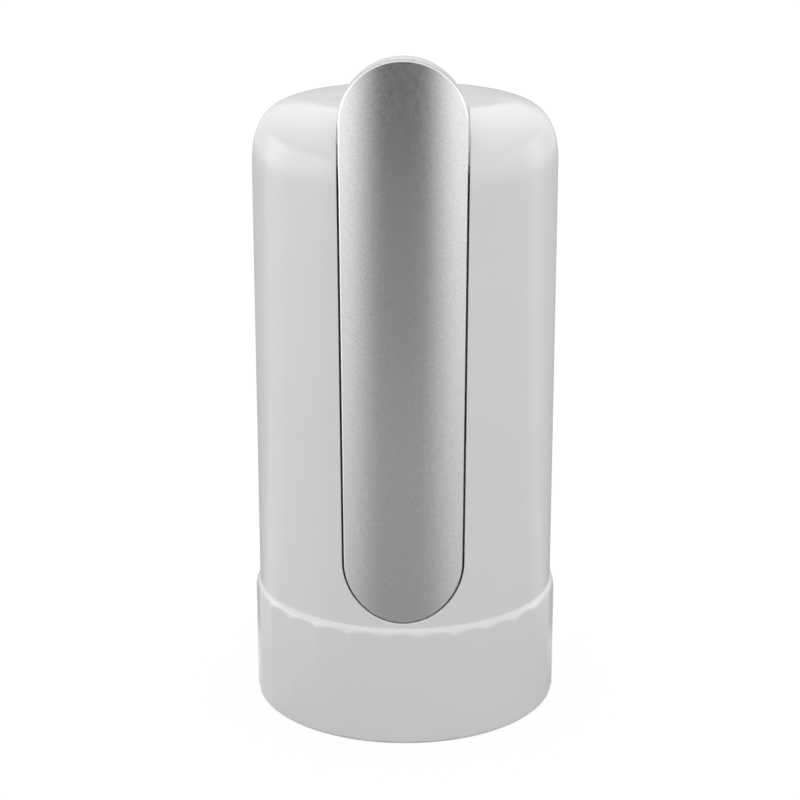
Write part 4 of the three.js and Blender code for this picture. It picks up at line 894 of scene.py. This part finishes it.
class JUGPUMP_OT_housing(bpy.types.Operator):
    """Models the white housing behind the cover, with its knuckles and the port that feeds the tube"""
    bl_idname = "jug_pump.housing"
    bl_label = "Spout housing"

    def execute(self, context):
        p = Places()
        front, back = p.shell.radius - p.arm.cover - 1.8 * GAP, p.arm_back
        body = [(0, 0), (front, 0), (front, p.arm_high), (0, p.arm_high)]
        housing = p.arm_blank("spout_housing_shell", 0, back)
        bevel_edges(housing, rim(lambda v: abs(v.y - back) < WELD), p.arm.back_edge, 6)
        combine(housing, "INTERSECT", turned("housing_curve", body, ARM_SIDES))
        cut(housing, p.arm_blank("housing_hollow", ARM_WALL, back - ARM_WALL))
        stub = place(p.journal_x, p.tube_y)
        spigot = block("spigot", (p.knuckle, p.tube_y - TUBE, p.spigot_foot),
                       (p.arm_top - ARM_WALL / 2, back, p.hinge_z))
        stub_foot = p.spigot_foot - STUB_LENGTH
        add(spigot, drum("spigot_stub", STUB, stub_foot, p.spigot_z, BAR_SIDES, stub))
        combine(spigot, "INTERSECT", turned("spigot_trim", body, ARM_SIDES))
        add(housing, spigot, drum("knuckle", KNUCKLE, -p.arm_top, -p.knuckle, HINGE_SIDES, p.axis),
            drum("knuckle", KNUCKLE, p.knuckle, p.arm_top, HINGE_SIDES, p.axis))
        before, behind, ends = back - ARM_WALL - OVERRUN, back + OVERRUN, p.arm_top + OVERRUN
        cut(housing,
            drum("manifold_room", MANIFOLD + 0.5 * MM, NEAR - p.knuckle, p.knuckle - NEAR, HINGE_SIDES, p.axis),
            drum("journal_bore", JOURNAL + RUN_GAP, -ends, ends, BORE_SIDES, p.axis),
            drum("nozzle_hole", NOZZLE_RADIUS + RUN_GAP, before, behind, SMALL_SIDES,
                 along_y(0, SLOT_FOOT_Z)),
            drum("port", 1.8 * MM, 0, (p.hinge_y - p.tube_y) * math.sqrt(2), HOLE_SIDES,
                 place(p.journal_x, p.hinge_y, p.hinge_z) @ tip(135)),
            drum("stub_bore", STUB_BORE, stub_foot - OVERRUN, p.spigot_z + 0.7 * MM, HOLE_SIDES, stub),
            *p.arm_screw_bars("screw_hole", SMALL_SCREW + RUN_GAP, before, behind, HOLE_SIDES))
        finish(shade(housing), "white_arm", ARM, "spout_housing")
        return {"FINISHED"}


class JUGPUMP_OT_nozzle(bpy.types.Operator):
    """Models the outlet nozzle on the back of the arm"""
    bl_idname = "jug_pump.nozzle"
    bl_label = "Outlet nozzle"

    def execute(self, context):
        p = Places()
        back = p.tube_y - TUBE
        end, r, bore, lip = p.nozzle_tip - back, NOZZLE_RADIUS, 3.4 * MM, 0.6 * MM
        neck, edge, floor = r - 0.12 * MM, 0.2 * MM, 1.2 * MM
        bead = [(r + lip * out, end - lip * down) for out, down in
                ((0.15, 1.8), (0.4, 1.4), (0.5, 1), (0.4, 0.55), (0.1, 0.2), (-0.4, 0))]
        profile = ([(0, 0), (r - edge, 0), (r, edge), (r, end - lip * 2.6), (neck, end - lip * 2.3),
                    (neck, end - lip * 2.1)] + bead
                   + [(bore + lip * 0.7, end), (bore + lip * 0.2, end - lip * 0.2), (bore, end - lip * 0.8),
                      (bore, floor + 0.3 * MM), (bore - 0.3 * MM, floor), (0, floor)])
        nozzle = settle(turned("outlet_nozzle", profile, HINGE_SIDES), place(0, back, SLOT_FOOT_Z) @ tip(-90))
        stub, stub_end = place(0, p.tube_y), SLOT_FOOT_Z + r + STUB_LENGTH
        add(nozzle, drum("nozzle_stub", STUB, SLOT_FOOT_Z + bore + lip, stub_end, BAR_SIDES, stub))
        cut(nozzle, drum("nozzle_stub_bore", STUB_BORE, SLOT_FOOT_Z, stub_end + OVERRUN, HOLE_SIDES, stub))
        finish(shade(nozzle), "steel", ARM, "spout_nozzle")
        return {"FINISHED"}


class JUGPUMP_OT_button(bpy.types.Operator):
    """Models the power button and the light ring round it"""
    bl_idname = "jug_pump.button"
    bl_label = "Power button"

    def execute(self, context):
        p = Places()
        r, top, flush = p.button.radius, p.shell.top + p.button.proud, p.shell.top
        dish, bowl, wall, edge = 0.35 * MM, 4.6 * MM, 1.4 * MM, 0.2 * MM
        flange, flange_top, stem = r + 0.9 * MM, p.ring_foot - GAP, 1.75 * MM + wall
        flange_foot, under = flange_top - 1.3 * MM, top - wall * 1.5
        hollow = [(bowl * math.sin(math.radians(a)), top - dish * (1 + math.cos(math.radians(2 * a))) / 2)
                  for a in range(0, 91, 9)]
        button = turned("power_button_cap", hollow + [
            (r - 0.5 * MM, top), (r - 0.25 * MM, top - 0.06 * MM), (r - 0.08 * MM, top - edge), (r, top - 0.42 * MM),
            (r, flange_top), (flange, flange_top), (flange, flange_foot), (r - wall, flange_foot), (r - wall, under),
            (stem, under), (stem, p.button_foot), (0, p.button_foot)], ROUND_SIDES)
        settle(button, place(0, p.button_y))
        finish(shade(button), "button_white", BUTTON, "power_button")
        inner, outer, out = p.ring_inner, p.ring_outer, p.ring_outer + RING_FLANGE
        ring = turned("button_light_ring", [
            (inner, p.ring_foot), (out, p.ring_foot), (out, p.roof - GAP), (outer, p.roof - GAP),
            *eased(outer, flush, -edge, -edge)[::-1], *eased(inner, flush, edge, -edge)], ROUND_SIDES)
        settle(ring, place(0, p.button_y))
        finish(shade(ring), "light_guide", BODY, "light_ring")
        return {"FINISHED"}


class JUGPUMP_OT_base(bpy.types.Operator):
    """Models the base tray with its deck, screw cups and posts"""
    bl_idname = "jug_pump.base"
    bl_label = "Base tray"

    def execute(self, context):
        p = Places()
        wall, lip, foot, lip_top = p.chassis - LIP_WALL, p.chassis - LIP_REACH, 1 * MM, 2.4 * MM
        seat, land, land_outer = DECK_UNDER - 0.4 * MM, 21 * MM, p.land_outer
        edge, small, step, fillet = 0.3 * MM, 0.2 * MM, 0.15 * MM, 0.6 * MM
        tray = turned("base_tray", [
            (INLET + GAP, DECK_UNDER), (land - small, DECK_UNDER), (land, DECK_UNDER - small), (land, seat + step),
            (land + step, seat), (land_outer - step, seat), (land_outer, seat + step), (land_outer, DECK_UNDER),
            *eased(wall, DECK_UNDER, -fillet, -fillet), (wall, lip_top), *eased(lip, lip_top, edge, -edge),
            *eased(lip, foot, edge, edge)[::-1], *eased(p.chassis, foot, -edge, edge),
            (p.chassis, DECK_TOP), (INLET + GAP, DECK_TOP)], TRAY_SIDES)
        screws, posts = p.base_screws(), p.posts()
        cup_top, bottom = DECK_TOP + CUP_RISE, DECK_UNDER + 1.2 * MM
        charge_posts = [place(x, p.inner - 6.2 * MM) for x in (-5 * MM, 5 * MM)]
        add(tray, *drums("cup", 4.2 * MM, DECK_UNDER, cup_top, BORE_SIDES, screws),
            *drums("post", 2.6 * MM, bottom, FRAME_FLOOR - GAP, BAR_SIDES, posts),
            *drums("charge_post", 1.8 * MM, bottom, CHARGE_BOARD - GAP, HOLE_SIDES, charge_posts))
        cut(tray, *drums("cup_room", 2.8 * MM, DECK_UNDER - OVERRUN, cup_top - CUP_FLOOR, BORE_SIDES, screws),
            *drums("cup_hole", SCREW + RUN_GAP, DECK_UNDER, cup_top + OVERRUN, BAR_SIDES, screws),
            *drums("post_hole", SMALL_SCREW + RUN_GAP, FRAME_FLOOR - 5 * MM, FRAME_FLOOR + OVERRUN, HOLE_SIDES, posts))
        finish(shade(tray), "white_inner", BODY, "base_chassis")
        return {"FINISHED"}


class JUGPUMP_OT_grip(bpy.types.Operator):
    """Models the soft grip ring with its three fins"""
    bl_idname = "jug_pump.grip"
    bl_label = "Neck grip ring"

    def execute(self, context):
        outer = Places().chassis - LIP_WALL - GAP
        inner = outer - GRIP_WALL
        reach = inner - FIN_REACH
        foot, top = GRIP_FOOT + GAP, DECK_UNDER - GAP
        pitch = (top - foot) / FIN_COUNT
        profile = [(outer, top), (outer, foot), (inner, foot)]
        for i in range(FIN_COUNT):
            at = foot + pitch * i + pitch - 0.9 * MM
            profile += [(r + out * MM, at + up * MM) for r, out, up in (
                (inner, 0, -1.6), (inner, -0.3, -1.5), (reach, 0.5, -0.22), (reach, 0.12, -0.02), (reach, 0, 0.2),
                (reach, 0.1, 0.4), (reach, 0.35, 0.42), (inner, -0.3, 0.12), (inner, 0, 0.1))]
        ring = turned("neck_grip", profile + [(inner, top)], GRIP_SIDES)
        finish(shade(ring), "grip_silicone", BODY, "neck_grip_ring")
        return {"FINISHED"}


class JUGPUMP_OT_inlet(bpy.types.Operator):
    """Models the barbed inlet with its washer and nut"""
    bl_idname = "jug_pump.inlet"
    bl_label = "Inlet"

    def nipple(self, collar_foot, collar_top, nut_top):
        bore, barb, port, stub_bore, foot, small = 3 * MM, 4.2 * MM, 2.2 * MM, 1.3 * MM, 8 * MM, 0.2 * MM
        stub_top = nut_top + 5.5 * MM
        profile = [(bore, foot + small), (bore + small, foot), (barb - small, foot), (barb, foot + small)]
        for i in range(3):
            crest = foot + (i + 0.8) * 3.2 * MM
            profile += [(barb + out * MM, crest + up * MM)
                        for out, up in ((0.6, -0.25), (0.7, -0.1), (0.62, 0), (0, 0.02))]
        profile += [(barb, collar_foot), (COLLAR - 0.35 * MM, collar_foot), (COLLAR - 0.1 * MM, collar_foot + 0.1 * MM),
                    (COLLAR, collar_foot + 0.35 * MM), (COLLAR, collar_top - small), (COLLAR - small, collar_top),
                    (INLET, collar_top), (INLET, nut_top), (port, nut_top), (port, stub_top), (stub_bore, stub_top),
                    (stub_bore, nut_top), (bore, nut_top - 3 * MM)]
        finish(shade(turned("inlet_barb", profile, SMALL_SIDES)), "white_inner", BODY, "inlet_nipple")

    def washer(self, low):
        high, hole, edge = low + WASHER, INLET + RUN_GAP, 0.2 * MM
        washer = turned("inlet_seal", [
            (hole, low + edge), (hole + edge, low), (COLLAR - edge, low), (COLLAR, low + edge),
            (COLLAR, high - edge), (COLLAR - edge, high), (hole + edge, high), (hole, high - edge)], SMALL_SIDES)
        finish(shade(washer), "rubber_black", BODY, "inlet_washer")

    def nut(self, foot, top):
        across, edge = 7.5 * MM, 0.45 * MM
        flat = across * math.cos(math.pi / 6) + 0.2 * MM
        nut = drum("inlet_hex_nut", across, foot, top, 6)
        combine(nut, "INTERSECT", turned("nut_chamfer", [
            (0, foot), (flat, foot), (across, foot + edge), (across, top - edge), (flat, top), (0, top)], HINGE_SIDES))
        cut(nut, drum("nut_bore", INLET + RUN_GAP, foot - OVERRUN, top + OVERRUN, BORE_SIDES))
        finish(shade(nut), "white_inner", BODY, "inlet_nut")

    def execute(self, context):
        collar_top, nut_foot = DECK_UNDER - 1.6 * MM, DECK_TOP + GAP
        nut_top = nut_foot + 3 * MM
        self.nipple(collar_top - 2.2 * MM, collar_top, nut_top)
        self.washer(collar_top + GAP)
        self.nut(nut_foot, nut_top)
        return {"FINISHED"}


class JUGPUMP_OT_screws(bpy.types.Operator):
    """Models the screws that can be seen: four under the base and two on the back of the arm"""
    bl_idname = "jug_pump.screws"
    bl_label = "Visible screws"

    def screw(self, shaft, head, thick, length, sunk):
        """A cross-head screw that points up Z from its head's seat at 0."""
        if sunk:
            top = [(0, -thick), (head - 0.12 * MM, -thick), (head, -thick + 0.1 * MM)]
        else:
            top = [(head * math.sin(math.radians(a)), -thick * (0.25 + 0.75 * math.cos(math.radians(a))))
                   for a in range(0, 91, 10)]
        piece = turned("screw", top + [(head, 0), (shaft, 0), (shaft, length - shaft), (0, length)],
                       SCREW_SIDES)
        arm, half, deep = head * 0.62, head * 0.12, min(thick * 0.62, 1 * MM)
        return shade(cut(piece, *[block("recess", (-x, -y, -thick - OVERRUN), (x, y, deep - thick))
                                  for x, y in ((arm, half), (half, arm))]))

    def spread(self, screw, name, cad_name, body, matrices):
        """Puts a copy in each place and removes the first one."""
        for i, matrix in enumerate(matrices, 1):
            finish(copy_of(screw, f"{name}_{i}", matrix), "screws", body, f"{cad_name}_{i}")
        bpy.data.objects.remove(screw)

    def execute(self, context):
        p = Places()
        seats = p.base_screws(DECK_TOP + CUP_RISE - CUP_FLOOR - GAP)
        self.spread(self.screw(SCREW, 2.5 * MM, 1.6 * MM, 10 * MM, False), "base_screw", "chassis_screw", BODY,
                    [seat @ tip(17 * i, "Z") for i, seat in enumerate(seats, 1)])
        seats = p.arm_screws(p.arm_back + 0.1 * MM)
        self.spread(self.screw(SMALL_SCREW, 1.7 * MM, 0.275 * MM, 5 * MM, True), "arm_screw", "spout_screw", ARM,
                    [seat @ tip(90) @ tip(28 * i, "Z") for i, seat in enumerate(seats, 1)])
        return {"FINISHED"}


class JUGPUMP_OT_socket(bpy.types.Operator):
    """Models the charging socket in the back, with its tongue and contacts"""
    bl_idname = "jug_pump.socket"
    bl_label = "Charging socket"

    def execute(self, context):
        wide, high, wall, mouth = 9 * MM, 3.2 * MM, 0.35 * MM, Places().shell.radius - 1.3 * MM
        back, inside, end = mouth - 7.3 * MM, mouth - 7.3 * MM + wall * 2, mouth - wall * 2
        can = prism("socket_can", rounded(wide, high, high / 2 - wall / 2, USB_Z, 12), "Y", back, mouth)
        hollow = rounded(wide - 2 * wall, high - 2 * wall, high / 2 - wall * 1.5, USB_Z, 12)
        cut(can, prism("socket_hollow", hollow, "Y", inside, mouth + OVERRUN))
        bevel_edges(can, rim(lambda v: abs(v.y - mouth) < WELD), 0.1 * MM, 2)
        finish(shade(can), "steel", BODY, "usb_socket")
        half, thick = 3.3 * MM, 0.35 * MM
        top = USB_Z + thick
        tongue = block("socket_tongue", (-half, inside, USB_Z - thick), (half, end, top))
        bevel_edges(tongue, rim(lambda v: abs(v.y - end) < WELD), 0.12 * MM, 2)
        finish(shade(tongue), "black_plastic", BODY, "usb_socket")
        contact = block("contact", (-0.15 * MM, end - 3.4 * MM, top - 0.01 * MM),
                        (0.15 * MM, end - 0.25 * MM, top + 0.03 * MM))
        bevel_edges(contact, rim(lambda v: v.z > top), 0.012 * MM, 1)
        for i in range(CONTACTS):
            finish(copy_of(contact, f"socket_contact_{i + 1}", place((i - (CONTACTS - 1) / 2) * 0.95 * MM)),
                   "brass_terminals", BODY)
        bpy.data.objects.remove(contact)
        return {"FINISHED"}


class JUGPUMP_OT_manifold(bpy.types.Operator):
    """Models the fixed knuckle in the middle of the hinge, with its stem and barb"""
    bl_idname = "jug_pump.manifold"
    bl_label = "Hinge manifold"

    def execute(self, context):
        p = Places()
        half, edge, web = p.knuckle - 0.4 * MM, 0.3 * MM, 2.4 * MM
        body = settle(turned("hinge_manifold_body", [
            (0, -half), *eased(MANIFOLD, -half, -edge, edge), *eased(MANIFOLD, half, -edge, -edge)[::-1], (0, half)],
            SMALL_SIDES), p.axis)
        merge_faces(body, lambda f: abs(f.normal.x) > FLAT)
        add(body, p.stem(0, STEM_REACH + GAP + 3 * MM, STEM_RADIUS),
            p.stem(STEM_REACH + 3 * MM, STEM_REACH + GAP + 10 * MM, 2.2 * MM, BAR_SIDES))
        cut(body, drum("bore", JOURNAL + RUN_GAP, web, half + OVERRUN, BORE_SIDES, p.axis),
            drum("bore", JOURNAL + RUN_GAP, -half - OVERRUN, -web, BORE_SIDES, p.axis),
            drum("way", 1.6 * MM, -0.6 * MM, half, HOLE_SIDES, p.axis),
            p.stem(-0.7 * MM, STEM_REACH + 10 * MM + OVERRUN, 1.35 * MM, HOLE_SIDES))
        finish(shade(body), "white_inner", BODY, "hinge_manifold", material="white_arm")
        return {"FINISHED"}


# The studio. Each list of stops is (metres or angle, strength) and starts with its first and its last stop.

TENT_TURN = -2                         # degrees to which the tent's dark front is turned
TENT_DARK = (12, 44)                   # degrees from there between which the dark ends
TENT_LEFT = ((-48, -66), (-124, -96))  # degrees between which the left side grows brighter, from either end
TENT_LEFT_GAIN = 1.7
TENT_FRONT = ((0.1, 0.31), (1.5, 0.15), (0.25, 0.34), (0.4, 0.25), (0.7, 0.24), (0.9, 0.06), (1.1, 0.02))
TENT_SIDE = ((0.06, 0.45), (1.5, 1.6), (0.12, 0.65), (0.35, 0.8), (0.6, 0.88), (0.9, 1.0))
TENT_BANDS = tuple((math.radians(a), strength) for a, strength in (
    (0, 1.0), (180, 0.25), (95, 1.0), (110, 1.3), (118, 1.5), (127, 0.9), (142, 0.65), (160, 0.6), (172, 0.3)))
TENT_LINE = ((0, 0, 0.0005), (0, -1.5, 0.0005), (0, -1.5, 0.5))
TENT_REACH = 2.0                       # metres over which its strengths are given
FLOOR_SIZE = 6
FLOOR_GLOW = 1.29                      # of the light that the floor adds for seen rays
FLOOR_GLOW_SHARE = 0.7
LAMP_PLACE, LAMP_AIM = (0, -0.2, 1.3), (0, 0, 0.1)
LAMP_SIZE = 1.4
CAMERA_DISTANCE = 484.5 * MM
CAMERA_HEIGHT = 219.5 * MM
CAMERA_PITCH = 16.935
CAMERA_TURN = 0.8
CAMERA_SHIFT = -5.1 / 800


class JUGPUMP_OT_stage(bpy.types.Operator):
    """Sets up the floor, the lights, the world and the camera"""
    bl_idname = "jug_pump.stage"
    bl_label = "Studio"

    def seen_rays(self, tree):
        """1 for camera, glossy and transmission rays."""
        path = node(tree, "LightPath", {}).outputs
        seen = calc(tree, "MAXIMUM", path["Is Camera Ray"], path["Is Glossy Ray"])
        return calc(tree, "MAXIMUM", seen, path["Is Transmission Ray"])

    def floor(self, base):
        bpy.ops.mesh.primitive_plane_add(size=FLOOR_SIZE, location=(0, 0, 0))
        floor = named("studio_floor")
        material, tree, shader = nodes_of("pale_floor")
        for name, value in (("Base Color", (*base, 1)), ("Roughness", 0.8), ("Specular IOR Level", 0.0)):
            shader.inputs[name].default_value = value
        glow = node(tree, "Emission", {"Strength": FLOOR_GLOW})
        share = calc(tree, "MULTIPLY", self.seen_rays(tree), FLOOR_GLOW_SHARE)
        mix = node(tree, "MixShader", {}, (share, "Fac"), (shader.outputs["BSDF"], 1), (glow.outputs["Emission"], 2))
        tree.links.new(mix.outputs["Shader"], tree.nodes["Material Output"].inputs["Surface"])
        floor.data.materials.append(material)

    def world(self, level):
        world = bpy.data.worlds.new("studio_world")
        bpy.context.scene.world = world
        world.use_nodes = True
        tree = world.node_tree
        tree.nodes.clear()
        room, seen = (node(tree, "Background", {"Color": (1, 1, 1, 1), "Strength": strength}).outputs[0]
                      for strength in (level, 1.0))
        mix = node(tree, "MixShader", {}, (self.seen_rays(tree), "Fac"), (room, 1), (seen, 2))
        node(tree, "OutputWorld", {}, (mix.outputs[0], "Surface"))

    def overhead(self, power):
        bpy.ops.object.light_add(type="AREA", location=LAMP_PLACE)
        lamp = named("overhead_light")
        lamp.data.size = LAMP_SIZE
        lamp.data.energy = power
        lamp.visible_glossy = False
        lamp.rotation_mode = "QUATERNION"
        lamp.rotation_quaternion = (Vector(LAMP_PLACE) - Vector(LAMP_AIM)).to_track_quat("Z", "Y")

    def surround(self):
        """A low tent that only shows in gloss: dark in front, bright at both sides and greyer behind."""
        tent = point("gloss_tent")
        trace([Vector(corner) for corner in TENT_LINE], closed=False)
        spin(HINGE_SIDES)
        material, tree, shader = nodes_of("gloss_tent_light")
        tree.nodes.remove(shader)

        def curve(source, stops, reach):
            """A value that follows the stops over a distance or an angle."""
            band = node(tree, "ValToRGB", {}, (calc(tree, "MULTIPLY", source, 1 / reach), "Fac"))
            for i, (at, value) in enumerate(stops):
                stop = band.color_ramp.elements[i] if i < 2 else band.color_ramp.elements.new(at / reach)
                stop.position = at / reach
                stop.color = (value / 2, value / 2, value / 2, 1)
            return calc(tree, "MULTIPLY", band.outputs["Color"], 2.0)

        def blend(angle, ends, low, high):
            """A value that goes softly from low to high between two angles."""
            start, end = (math.radians(a) for a in ends)
            return node(tree, "MapRange", {"From Min": start, "From Max": end, "To Min": low, "To Max": high},
                        (angle, "Value"), interpolation_type="SMOOTHSTEP").outputs[0]

        spot = node(tree, "TexCoord", {}).outputs["Object"]
        parts = node(tree, "SeparateXYZ", {}, (spot, 0)).outputs
        turn = calc(tree, "ARCTAN2", parts["X"], calc(tree, "MULTIPLY", parts["Y"], -1.0))
        turn = calc(tree, "ADD", turn, -math.radians(TENT_TURN))
        away = calc(tree, "ABSOLUTE", turn)
        far = node(tree, "VectorMath", {}, (spot, 0), operation="LENGTH").outputs["Value"]
        lit = calc(tree, "MULTIPLY", curve(far, TENT_SIDE, TENT_REACH), curve(away, TENT_BANDS, TURN / 2))
        left = calc(tree, "MINIMUM", *[blend(turn, ends, 1.0, TENT_LEFT_GAIN) for ends in TENT_LEFT])
        mix = node(tree, "Mix", {}, (blend(away, TENT_DARK, 0.0, 1.0), "Factor"),
                   (curve(far, TENT_FRONT, TENT_REACH), "A"), (calc(tree, "MULTIPLY", lit, left), "B"))
        glow = node(tree, "Emission", {}, (mix.outputs[0], "Strength"))
        tree.links.new(glow.outputs[0], tree.nodes["Material Output"].inputs["Surface"])
        tent.data.materials.append(material)
        tent.visible_camera = tent.visible_diffuse = tent.visible_transmission = tent.visible_shadow = False

    def execute(self, context):
        studio, turn = context.scene.jug_pump_studio, math.radians(CAMERA_TURN)
        self.floor(tuple(studio.floor))
        self.world(studio.level)
        self.surround()
        self.overhead(studio.overhead)
        bpy.ops.object.camera_add(
            location=(CAMERA_DISTANCE * math.sin(turn), -CAMERA_DISTANCE * math.cos(turn), CAMERA_HEIGHT))
        camera = named("photo_camera")
        camera.rotation_euler = (math.radians(90 - CAMERA_PITCH), 0, turn)
        camera.data.lens = studio.lens
        camera.data.sensor_width = 36
        camera.data.shift_x = CAMERA_SHIFT
        camera.data.clip_start, camera.data.clip_end = 0.01, 50
        context.scene.camera = camera
        context.scene.view_settings.view_transform = "Standard"
        return {"FINISHED"}


KEPT = {
    "battery_wrap": ("battery_cell",),
    "black_plastic": ("motor_end_cap", "pump_body", "pump_head_cover", "manifold_nut", "board_chip", "tact_switch",
                      "tact_plunger", "pump_eccentric"),
    "board_green": ("control_board", "charge_board", "switch_board"),
    "brass_terminals": ("motor_terminal_1", "motor_terminal_2"),
    "frame_grey": ("inner_frame",),
    "hose_silicone": ("suction_tube", "delivery_tube", "spout_tube"),
    "light_guide": ("indicator_led",),
    "rubber_black": ("pump_diaphragm", "board_inductor"),
    "screws": ("motor_armature",),
    "steel": ("motor_can", "battery_terminal", "board_capacitor", "hinge_journal", "pivot_pin", "motor_shaft"),
    "white_inner": ("pump_yoke", "pump_valve_plate"),
}


class JUGPUMP_OT_inner(bpy.types.Operator):
    """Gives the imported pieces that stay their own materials"""
    bl_idname = "jug_pump.inner"
    bl_label = "Inner works"

    def execute(self, context):
        slots = {name: slot for slot, names in KEPT.items() for name in names}
        for name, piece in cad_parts.items():
            if piece.hide_render:
                continue
            slot = slots.get(name) or ("screws" if "screw" in name else None)
            if slot is None:
                raise RuntimeError(f"{name} has no material")
            piece.data.materials.clear()
            piece.data.materials.append(look(slot))
        return {"FINISHED"}


OPERATORS = (JUGPUMP_OT_stage, JUGPUMP_OT_shell, JUGPUMP_OT_cover, JUGPUMP_OT_housing, JUGPUMP_OT_nozzle,
             JUGPUMP_OT_button, JUGPUMP_OT_base, JUGPUMP_OT_grip, JUGPUMP_OT_inlet, JUGPUMP_OT_screws,
             JUGPUMP_OT_socket, JUGPUMP_OT_manifold, JUGPUMP_OT_inner)
GROUPS = {"jug_pump_shell": JugPumpShell, "jug_pump_arm": JugPumpArm, "jug_pump_button": JugPumpButton,
          "jug_pump_studio": JugPumpStudio}


class JUGPUMP_PT_panel(bpy.types.Panel):
    """Lists the pieces of the jug pump"""
    bl_idname = "JUGPUMP_PT_panel"
    bl_label = "Jug Pump"
    bl_space_type = "VIEW_3D"
    bl_region_type = "UI"
    bl_category = "Jug Pump"

    def draw(self, context):
        for operator in OPERATORS:
            self.layout.operator(operator.bl_idname)
        for name, sizes in GROUPS.items():
            box = self.layout.box()
            for key in sizes.__annotations__:
                box.prop(getattr(context.scene, name), key)


def register():
    for name, sizes in GROUPS.items():
        bpy.utils.register_class(sizes)
        setattr(bpy.types.Scene, name, PointerProperty(type=sizes))
    for item in (*OPERATORS, JUGPUMP_PT_panel):
        bpy.utils.register_class(item)


def unregister():
    for item in (JUGPUMP_PT_panel, *reversed(OPERATORS)):
        bpy.utils.unregister_class(item)
    for name, sizes in GROUPS.items():
        delattr(bpy.types.Scene, name)
        bpy.utils.unregister_class(sizes)


def main():
    register()
    for operator in OPERATORS:
        family, name = operator.bl_idname.split(".")
        getattr(getattr(bpy.ops, family), name)()


if __name__ == "__main__":
    main()
